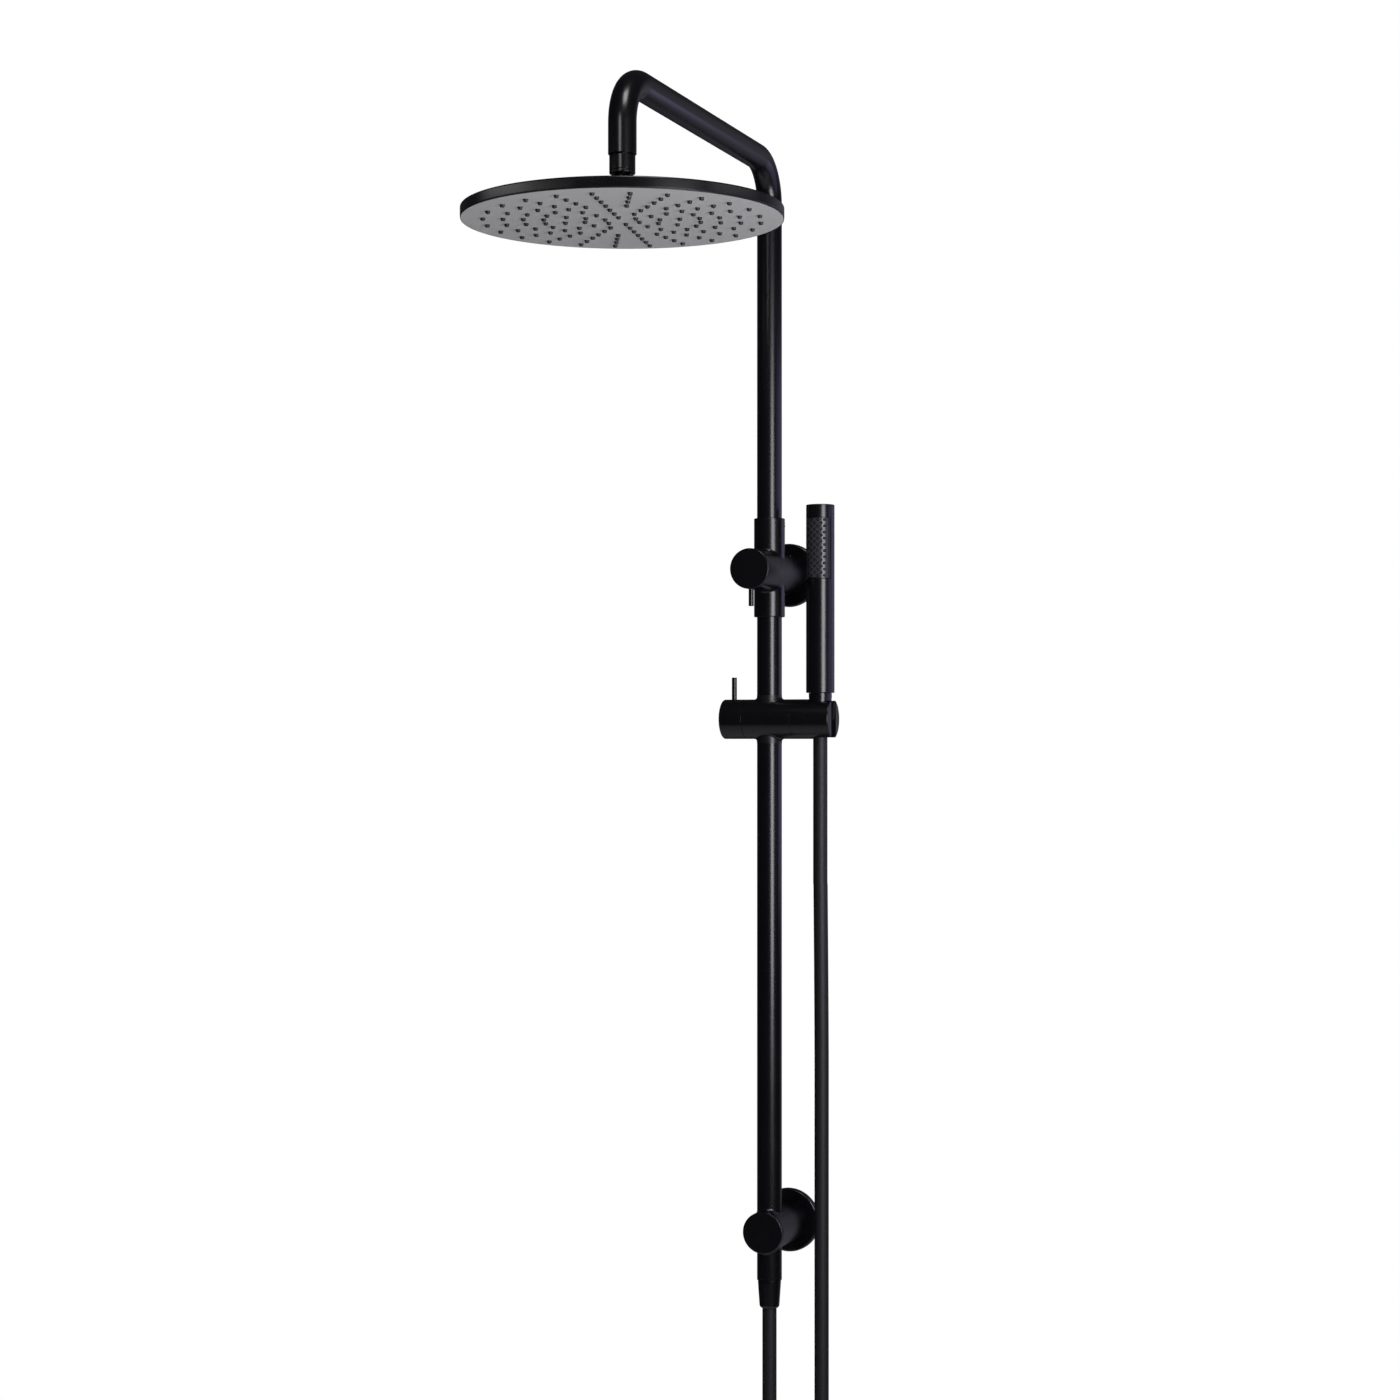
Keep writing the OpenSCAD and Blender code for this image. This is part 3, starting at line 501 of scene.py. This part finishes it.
def bar(radius, low, high, low_edge=0.0, high_edge=0.0, turn=upright, at=(0, 0, 0), steps=96):
    """A solid round bar along z from low to high, with rounded edges, turned and moved"""
    shape = turned([(0, low, 0), (radius, low, low_edge), (radius, high, high_edge),
        (0, high, 0)], steps, closed=False)
    bmesh.ops.transform(shape, matrix=Matrix.Translation(at) @ turn, verts=shape.verts)
    return shape


def fillet(barrel_r, post_r, radius, turn=upright, at=(0, 0, 0), arc_steps=10, steps=120):
    """The cast fillet where a round post along z leaves a round barrel along x: the path of a ball
    that rolls round the crossing and touches both. It is sunk a little into the barrel."""
    shape = bmesh.new()
    sections = []
    for k in range(steps):
        angle = math.tau * k / steps
        side = (post_r + radius) * math.sin(angle)
        ball = Vector(((post_r + radius) * math.cos(angle), side,
            math.sqrt((barrel_r + radius) ** 2 - side ** 2)))
        post_x, post_y = post_r * math.cos(angle), post_r * math.sin(angle)
        on_post = Vector((post_x, post_y, ball.z)) - ball
        on_barrel = Vector((0, ball.y, ball.z)) * (-radius / (barrel_r + radius))
        between = on_post.rotation_difference(on_barrel)
        arc = [ball + Matrix.Rotation(between.angle * j / arc_steps, 3, between.axis) @ on_post
            for j in range(arc_steps + 1)]
        root = Vector((post_x, post_y, math.sqrt(barrel_r ** 2 - post_y ** 2) - 0.5))
        sections.append([shape.verts.new(corner) for corner in [root] + arc])
    for a, b in zip(sections, sections[1:] + sections[:1]):
        for i in range(len(a)):
            j = (i + 1) % len(a)
            shape.faces.new((a[i], b[i], b[j], a[j]))
    bmesh.ops.recalc_face_normals(shape, faces=shape.faces)
    bmesh.ops.transform(shape, matrix=Matrix.Translation(at) @ turn, verts=shape.verts)
    return shape


def together(*shapes):
    """Several closed shapes in one mesh"""
    result = bmesh.new()
    for shape in shapes:
        mesh = bpy.data.meshes.new("blank")
        shape.to_mesh(mesh)
        shape.free()
        result.from_mesh(mesh)
        bpy.data.meshes.remove(mesh)
    return result


tube_r = (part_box("rail")[1].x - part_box("rail")[0].x) / MM / 2
rail_y = hose_depth / MM
on_rail = (0, rail_y, 0)
across = Matrix.Rotation(math.radians(90), 4, "Z")
over = Matrix.Rotation(math.radians(180), 4, "X")
low, high = span("diverter_body")
barrel_r, sleeve_r, fillet_r = radius_of("diverter_body"), 16.75, 3.5
socket_r, socket_depth, water_way_r = tube_r + 0.15, 27, 6
chamber_r, chamber_depth, thread_r, inlet_depth = 15.1, 27, 10.55, 20
sleeve = bar(sleeve_r, low.z, high.z, 0.8, 0.8, at=on_rail)
barrel = bar(barrel_r, -high.y, -low.y, 0.3, 0.5, to_room)
bores = [
    bar(socket_r, high.z - socket_depth, high.z + 1, at=on_rail, steps=64),
    bar(socket_r, low.z - 1, low.z + socket_depth, at=on_rail, steps=64),
    bar(water_way_r, low.z, high.z, at=on_rail, steps=32),
    bar(chamber_r, -(low.y + chamber_depth), -low.y + 1, turn=to_room, steps=64),
    bar(thread_r, -inlet_depth, 0, turn=to_room, steps=64)]
body = together(
    carved(sleeve, added=[barrel], cut=bores),
    fillet(barrel_r, sleeve_r, fillet_r, across, on_rail),
    fillet(barrel_r, sleeve_r, fillet_r, over @ across, on_rail))
finished("diverter_body_cast", body, coat, "root", ["diverter_body"])

# Rail
# A drawn brass tube, 27 mm across, that carries the water down to the hose and the slider on
# its outside. It is coated after its ends are squared and broken.
tube_wall = 1.5
low, high = span("rail")
rail = turned([(tube_r, low.z, 0.5), (tube_r, high.z, 0.5), (tube_r - tube_wall, high.z, 0.2),
    (tube_r - tube_wall, low.z, 0.2)])
finished("rail_drawn", rail, coat, "root", ["rail"], at=on_rail)

# Lower bracket
# A turned brass barrel on the lower wall stud, bored through for the rail with a small fillet
# round it, and a pressed cap that hides the clamp screw.
low, high = span("lower_bracket_body")
cap_low, cap_high = span("lower_bracket_cap")
lower_r, lower_z = radius_of("lower_bracket_body"), middle_of("lower_bracket_body").z
on_lower = (0, rail_y, lower_z)
mouth_r, bore_r = tube_r + 0.12, tube_r + 0.06
lower_barrel = bar(lower_r, -high.y, -low.y, 0.3, 0.25, to_room, (0, 0, lower_z))
lower_bore = bar(bore_r, -lower_r - 5, lower_r + 5, at=on_lower)
bracket = together(
    carved(lower_barrel, cut=[lower_bore]),
    fillet(lower_r, mouth_r, fillet_r, across, on_lower),
    fillet(lower_r, mouth_r, fillet_r, over @ across, on_lower))
finished("lower_bracket_turned", bracket, coat, "root", ["lower_bracket_body"])
plug_r, cap_length = 16.5, cap_high.y - cap_low.y
cap_seam = cap_length - 6
cap = turned([(0, 0, 0), (plug_r, 0, 0.4), (plug_r, cap_seam, 0), (lower_r, cap_seam, 0.2),
    (lower_r, cap_length, 0.9), (0, cap_length, 0)], closed=False)
finished("lower_bracket_cap_turned", cap, coat, "root", ["lower_bracket_cap"],
    to_room, (0, cap_high.y, lower_z))

# Hose nuts
# Tapered brass nuts with a G 1/2 thread inside, swaged to the ends of the hose and coated black.
# The wide mouth has a short straight band, and the tip is rounded.
hose_r, nut_tip_r = hose_width / MM / 2, 10.8
nut_band, nut_thread_length = 3.2, 12.6


def hose_nut(node, body):
    """A tapered nut with its wide mouth up, from its CAD node's size"""
    low, high = span(node)
    length = high.z - low.z
    shape = turned([(thread_r, 0, 0.3), (radius_of(node), 0, 0.3),
        (radius_of(node), -nut_band, 0.8), (nut_tip_r, 1.6 - length, 1.4),
        (nut_tip_r - 1.4, -length, 0.5), (hose_r + 0.2, -length, 0.2),
        (hose_r + 0.2, -nut_thread_length, 0), (thread_r, -nut_thread_length, 0)])
    finished(node + "_turned", shape, coat, body, [node],
        at=(middle_of(node).x, rail_y, high.z))


hose_nut("lower_hose_nut", "root")

# Gooseneck arm
# The same brass tube, bent twice on a mandrel: up out of the sleeve, forwards over the user and
# down to the rain head.
low, high = span("gooseneck_arm")
bend_r, nipple_depth = 45, 12
arm_foot, arm_z, head_y = low.z, high.z - tube_r, low.y + tube_r
arm_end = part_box("arm_outlet_nipple")[1].z / MM - nipple_depth
arm = bmesh.new()
bmesh.ops.create_circle(arm, cap_ends=False, segments=80, radius=tube_r,
    matrix=Matrix.Translation((0, rail_y, arm_foot)))


def drawn_out(open_end, step):
    """Draws the open end of the tube along a step, and gives the new open end"""
    made = bmesh.ops.extrude_edge_only(arm, edges=open_end)["geom"]
    bmesh.ops.translate(arm, vec=step,
        verts=[part for part in made if isinstance(part, bmesh.types.BMVert)])
    return [part for part in made if isinstance(part, bmesh.types.BMEdge) and part.is_boundary]


def bent(open_end, centre):
    """Bends the open end of the tube through a quarter turn, and gives the new open end"""
    made = bmesh.ops.spin(arm, geom=open_end, cent=centre, axis=(1, 0, 0), dvec=(0, 0, 0),
        angle=math.radians(90), steps=24, use_merge=False, use_duplicate=False)["geom_last"]
    return [part for part in made if isinstance(part, bmesh.types.BMEdge)]


end = drawn_out(arm.edges[:], (0, 0, arm_z - bend_r - arm_foot))
end = bent(end, (0, rail_y - bend_r, arm_z - bend_r))
end = drawn_out(end, (0, head_y - rail_y + 2 * bend_r, 0))
end = bent(end, (0, head_y + bend_r, arm_z - bend_r))
drawn_out(end, (0, 0, arm_end - arm_z + bend_r))
bmesh.ops.remove_doubles(arm, verts=arm.verts, dist=0.001)
bmesh.ops.recalc_face_normals(arm, faces=arm.faces)
arm_piece = finished("gooseneck_arm_bent", arm, coat, "arm", ["gooseneck_arm"])
wall = arm_piece.modifiers.new("tube_wall", "SOLIDIFY")
wall.thickness = tube_wall * MM
wall.offset = -1
broken = arm_piece.modifiers.new("broken_edges", "BEVEL")
broken.width = 0.6 * MM
broken.segments = 3
broken.limit_method = "ANGLE"
broken.angle_limit = math.radians(50)
last_place = len(arm_piece.modifiers) - 1
arm_piece.modifiers.move(arm_piece.modifiers.find("even_shading"), last_place)

# Swivel nut and ball
# A turned brass nut on the arm's nipple. The ball inside turns and tilts on a rubber seat, and
# its short stem screws into the rain head. A fine groove runs round the nut.
low, high = span("swivel_nut")
nut_r, seat_r, ball_room_r, groove_z = radius_of("swivel_nut"), 8.9, 10.2, low.z + 3.6
thread_end = high.z - 9
swivel = turned([(thread_r, high.z, 0.3), (nut_r, high.z, 1.1), (nut_r, groove_z + 0.3, 0.25),
    (nut_r - 0.5, groove_z, 0), (nut_r, groove_z - 0.3, 0.25), (nut_r, low.z, 1.1),
    (seat_r, low.z, 0.3), (ball_room_r, low.z + 4, 0.3), (ball_room_r, thread_end, 0),
    (thread_r, thread_end, 0)])
on_head = (0, head_y, 0)
finished("swivel_nut_turned", swivel, coat, "nut", ["swivel_nut"], at=on_head)
dress(coat, "swivel_ball")

# Rain head
# Two thin round shells: a pressed black back with a turned hub, and a pale grey face plate that
# the nozzles come through.
low, high = span("head_shell")
head_r, rim_z, rim_wall, back_wall = radius_of("head_shell"), low.z, 4, 2
hub_r, hub_hole_r, hub_top, hub_height, hub_floor, water_hole_r = 16, 9.35, high.z, 14, 3, 5
back_z = hub_top - hub_height
shell = turned([(hub_hole_r, hub_top, 0.3), (hub_r, hub_top, 1.2), (hub_r, back_z, 3.5),
    (head_r, back_z, 1.6), (head_r, rim_z, 0.35), (head_r - rim_wall, rim_z, 0.2),
    (head_r - rim_wall, back_z - back_wall, 1), (water_hole_r, back_z - back_wall, 0),
    (water_hole_r, back_z + hub_floor, 0), (hub_hole_r, back_z + hub_floor, 0)], steps=192)
finished("head_shell_pressed", shell, coat, "head", ["head_shell"], at=on_head)


def face_coat():
    """Fine matt grey coat over the steel face plate: an even grain, drawn at 1.2 mm. The outer
    0.8 mm of the plate is painted black: painted shade where the face meets the shell's rim."""
    material, tree, surface, place = new_material("matt_grey_face_coat")
    slow = add_node(tree, "ShaderNodeTexNoise",
        {"Vector": place, "Scale": 1 / (80 * MM), "Detail": 2})
    grain = add_node(tree, "ShaderNodeTexNoise",
        {"Vector": place, "Scale": 1 / (1.2 * MM), "Detail": 2})
    shade = add_node(tree, "ShaderNodeMix", {"Factor": slow.outputs["Fac"],
        "A": linear("#d7d9d2"), "B": linear("#dddfd8")}, data_type="RGBA")
    bump = add_node(tree, "ShaderNodeBump",
        {"Height": grain.outputs["Fac"], "Strength": 0.1, "Distance": 0.05 * MM})
    flat = add_node(tree, "ShaderNodeVectorMath", {0: place, 1: (1, 1, 0)}, operation="MULTIPLY")
    off_axis = add_node(tree, "ShaderNodeVectorMath",
        {0: flat.outputs["Vector"], 1: (0, head_y * MM, 0)}, operation="DISTANCE")
    # Painted shade: the outer 0.8 mm of the plate is coloured black where it meets the shell's rim
    edge = add_node(tree, "ShaderNodeMath",
        {0: off_axis.outputs["Value"], 1: (head_r - 0.8) * MM}, operation="GREATER_THAN")
    colour = add_node(tree, "ShaderNodeMix", {"Factor": edge.outputs["Value"],
        "A": shade.outputs["Result"], "B": linear("#0a0a0c")}, data_type="RGBA")
    skin = add_node(tree, "ShaderNodeBsdfPrincipled", {"Base Color": colour.outputs["Result"],
        "Roughness": 0.5, "Normal": bump.outputs["Normal"]})
    tree.links.new(skin.outputs["BSDF"], surface)
    return material


dress(face_coat(), "head_face_plate")

# Rain nozzles
# Soft silicone nozzles, moulded in one mat behind the face plate, in seven rings whose rows line
# up. Each is a short cone with a rounded tip and a bore.
silicone = moulded("moulded_dark_silicone", "#1c1c1e", "#262628", 0.45, 0.58, 0.5 * MM)
low, high = span("nozzle_mat")
face_z, mat_r, plate_wall = span("head_face_plate")[0].z, head_r - rim_wall - 0.3, 1.2
nozzle_r, tip_r, nozzle_length = 2.5, 1.95, face_z - low.z
bore_mouth_r, bore_end_r, bore_end = 0.55, 0.4, 1 - nozzle_length
ring_arms = (6, 12, 12, 24, 24, 24, 24)
first_ring_r, ring_pitch, row_turn, first_ring_turn = 17, 19, 10, 30
nozzle = turned([(nozzle_r, plate_wall, 0), (nozzle_r, 0, 0), (tip_r, -nozzle_length, 0.5),
    (bore_mouth_r, -nozzle_length, 0.15), (bore_end_r, bore_end, 0), (0, bore_end, 0)],
    steps=16, closed=False)
nozzle_mesh = bpy.data.meshes.new("nozzle")
nozzle.to_mesh(nozzle_mesh)
nozzle.free()
mat = turned([(0, high.z - face_z, 0), (mat_r, high.z - face_z, 0), (mat_r, plate_wall, 0),
    (0, plate_wall, 0)], closed=False)
place_before = Vector((0, 0, 0))
for ring, arms in enumerate(ring_arms):
    ring_r = first_ring_r + ring * ring_pitch
    for k in range(arms):
        angle = math.radians(row_turn + (first_ring_turn if ring == 0 else 0) + 360 * k / arms)
        place = Vector((ring_r * math.cos(angle), ring_r * math.sin(angle), 0))
        nozzle_mesh.transform(Matrix.Translation(place - place_before))
        mat.from_mesh(nozzle_mesh)
        place_before = place
bpy.data.meshes.remove(nozzle_mesh)
finished("rain_nozzles_moulded", mat, silicone, "head", ["nozzle_mat"],
    at=(0, head_y, face_z))

# Diverter knob and lever
# A turned cup over the cartridge's nose, with a square-cut pin screwed in from below as the
# lever.
low, high = span("diverter_knob")
knob_length, knob_floor, cup_r = high.y - low.y, 12, barrel_r - 5
knob = turned([(0, knob_length, 0), (barrel_r, knob_length, 0.9), (barrel_r, 0, 0.35),
    (cup_r, 0, 0.3), (cup_r, knob_floor, 0), (0, knob_floor, 0)], steps=128, closed=False)
finished("diverter_knob_turned", knob, coat, "diverter", ["diverter_knob"],
    to_room, (0, high.y, 0))


def lever_pin(node, body, low_edge, high_edge):
    """A straight steel pin with broken edges, from its CAD node's size"""
    low, high = span(node)
    pin = bar(radius_of(node), low.z, high.z, low_edge, high_edge, steps=48)
    finished(node + "_pin", pin, coat, body, [node],
        at=(middle_of(node).x, middle_of(node).y, 0))


lever_pin("diverter_lever", "diverter", 0.45, 0.2)

# Slider
# A turned barrel across the rail that slides on two black acetal bushes. The knob at its left
# clamps it with a lever pin, and a thin seam parts it from the holder at its right.
to_right = Matrix.Rotation(math.radians(90), 4, "Y")
low, high = span("slider_body")
slider_z, slider_r = middle_of("slider_body").z, (high.y - low.y) / 2
on_slider = (0, rail_y, slider_z)
slider_barrel = bar(slider_r, low.x, high.x, 0.15, 0.15, to_right, on_slider)
slider_bore = bar(bore_r, -slider_r - 5, slider_r + 5, at=on_slider)
slider = together(
    carved(slider_barrel, cut=[slider_bore]),
    fillet(slider_r, mouth_r, fillet_r, at=on_slider),
    fillet(slider_r, mouth_r, fillet_r, over, on_slider))
finished("slider_body_turned", slider, coat, "slider", ["slider_body"])
black_acetal = moulded("moulded_black_acetal", "#0e0e10", "#151517", 0.32, 0.42, 0.8 * MM)
low, high = span("slider_bushings")
slip_r, lip_r, bush_r = tube_r + 0.03, tube_r + 0.2, radius_of("slider_bushings")
bush_low, bush_high = slider_z - 15, slider_z + 15
bushings = turned([(slip_r, low.z, 0), (lip_r, low.z, 0.08), (lip_r, bush_low, 0),
    (bush_r, bush_low, 0), (bush_r, bush_high, 0), (lip_r, bush_high, 0), (lip_r, high.z, 0.08),
    (slip_r, high.z, 0)])
finished("slider_bushings_moulded", bushings, black_acetal, "slider", ["slider_bushings"],
    at=on_rail)
low, high = span("slider_knob")
knob = bar(slider_r, low.x, high.x, 1.2, 0.15, to_right, on_slider)
finished("slider_knob_turned", knob, coat, "lock", ["slider_knob"])
lever_pin("slider_lever", "lock", 0.2, 0.45)

# Holder
# The right end of the slider's barrel, which tilts. It has a tapered socket for the hose nut and
# a slot at its end that lets the hose in. A bolt and its washer join it to the slider.
low, high = span("holder_barrel")
nut_low, nut_high = span("handset_hose_nut")
handset_x, play, socket_foot = middle_of("handset_hose_nut").x, 0.15, nut_low.z - 0.3
on_handset = (handset_x, rail_y, 0)
socket = turned([(0, socket_foot, 0), (nut_tip_r + play, socket_foot, 0),
    (radius_of("handset_hose_nut") + play, nut_high.z, 0), (0, nut_high.z, 0)], closed=False)
bmesh.ops.translate(socket, vec=on_handset, verts=socket.verts)
slot_length, slot_height = 40, 60
slot = bmesh.new()
bmesh.ops.create_cube(slot, size=1,
    matrix=Matrix.Translation((handset_x + slot_length / 2, rail_y, slider_z))
    @ Matrix.Diagonal((slot_length, 2 * hose_r + 1, slot_height, 1)))
hose_bore = bar(hose_r + 1, slider_z - slot_height / 2, slider_z, at=on_handset, steps=64)
washer_r, bolt_r = 8.4, 5.1
washer_bore = bar(washer_r, low.x + 7, handset_x - nut_tip_r, turn=to_right, at=on_slider,
    steps=64)
bolt_bore = bar(bolt_r, low.x - 1, low.x + 12, turn=to_right, at=on_slider, steps=48)
holder = carved(
    bar(slider_r, low.x, high.x, 0.15, 1.0, to_right, on_slider),
    cut=[socket, hose_bore, slot, washer_bore, bolt_bore])
finished("holder_turned", holder, coat, "holder", ["holder_barrel"])

# Handset
# A slim round stick, drawn and coated, on its own hose nut. Its turned cap is pressed in at the
# top, and a tall window faces the user.
hose_nut("handset_hose_nut", "hose_end")
low, high = span("handset_body")
cap_low, cap_high = span("handset_top_cap")
frame_low, frame_high = span("spray_frame")
stick_r, stick_wall = radius_of("handset_body"), 1.6
window_half = math.radians(66)


def window(inner, outer, low, high, half_angle, steps=60):
    """A part of a tube round the handset, facing the room, as a closed shape"""
    shape = bmesh.new()
    corners = [shape.verts.new((0, -r, z))
        for r, z in ((inner, low), (outer, low), (outer, high), (inner, high))]
    edges = [shape.edges.new(pair) for pair in zip(corners, corners[1:] + corners[:1])]
    bmesh.ops.rotate(shape, verts=shape.verts, cent=(0, 0, 0),
        matrix=Matrix.Rotation(-half_angle, 3, "Z"))
    bmesh.ops.spin(shape, geom=corners + edges, cent=(0, 0, 0), axis=(0, 0, 1), dvec=(0, 0, 0),
        angle=2 * half_angle, steps=steps, use_merge=False, use_duplicate=False)
    bmesh.ops.holes_fill(shape, edges=shape.edges, sides=4)
    bmesh.ops.recalc_face_normals(shape, faces=shape.faces)
    return shape


tube = turned([(stick_r, low.z, 0.7), (stick_r, high.z, 0.15), (stick_r - stick_wall, high.z, 0),
    (stick_r - stick_wall, low.z, 0.2)], steps=120)
opening = window(stick_r - 5, stick_r + 2, frame_low.z - 0.6, frame_high.z + 0.2, window_half)
handset = carved(tube, cut=[opening])
finished("handset_body_drawn", handset, coat, "handset", ["handset_body"],
    at=on_handset)
plug_r, cap_length = stick_r - 1.65, cap_high.z - cap_low.z
cap = turned([(0, 0, 0), (plug_r, 0, 0), (plug_r, 5, 0), (stick_r, 5.05, 0.15),
    (stick_r, cap_length, 0.9), (0, cap_length, 0)], steps=120, closed=False)
finished("handset_cap_turned", cap, coat, "handset", ["handset_top_cap"],
    at=(handset_x, rail_y, cap_low.z))

# Spray plate
# A black acetal frame with broad sides and thin ends, snapped into the window, round a dark grey
# acetal plate. In the plate's holes stand six rows of nine or ten small silicone nibs, set in a
# quincunx, which wipe clean with a finger.
frame_r, frame_inner_r, plate_r = stick_r - 0.1, stick_r - 2.3, stick_r - 0.3
frame_half, side_angle, end_width = window_half - math.radians(3.2), math.radians(12), 1.1
pane_low, pane_high = frame_low.z + end_width, frame_high.z - end_width
spray_frame = carved(
    window(frame_inner_r, frame_r, frame_low.z, frame_high.z, frame_half),
    cut=[window(stick_r - 4, stick_r + 1, pane_low, pane_high, window_half - side_angle)])
finished("spray_frame_moulded", spray_frame, black_acetal, "handset", ["spray_frame"],
    at=on_handset)
columns, rows, column_step, margin = 6, 10, math.radians(14), 1.9
hole_r, hole_foot, nib_r, nib_foot, nib_proud = 1.75, plate_r - 1.3, 1.4, plate_r - 1.4, 0.2
first_nib = pane_low + margin
pitch = (pane_high - margin - first_nib) / (rows - 1)
holes, nibs = [], []
for column in range(columns):
    outwards = Matrix.Rotation((column - (columns - 1) / 2) * column_step, 4, "Z") @ to_room
    for row in range(rows - 1 + column % 2):
        nib_at = (0, 0, first_nib + (row + (1 - column % 2) / 2) * pitch)
        holes.append(bar(hole_r, hole_foot, plate_r + 1, turn=outwards, at=nib_at, steps=12))
        nibs.append(bar(nib_r, nib_foot, plate_r + nib_proud, 0, 0.45, outwards, nib_at, steps=12))
plate_half = window_half - math.radians(12.6)
plate = carved(
    window(frame_inner_r, plate_r, pane_low + 0.1, pane_high - 0.1, plate_half),
    cut=[together(*holes)])
grey_acetal = moulded("moulded_dark_grey_acetal", "#303035", "#3a3a40", 0.24, 0.3, 0.8 * MM)
finished("spray_plate_moulded", plate, grey_acetal, "handset", ["spray_nozzle_pad"],
    at=on_handset)
nib_silicone = moulded("moulded_black_silicone", "#060607", "#0a0a0b", 0.6, 0.7, 0.5 * MM)
finished("spray_nibs_moulded", together(*nibs), nib_silicone, "handset", [],
    at=on_handset)
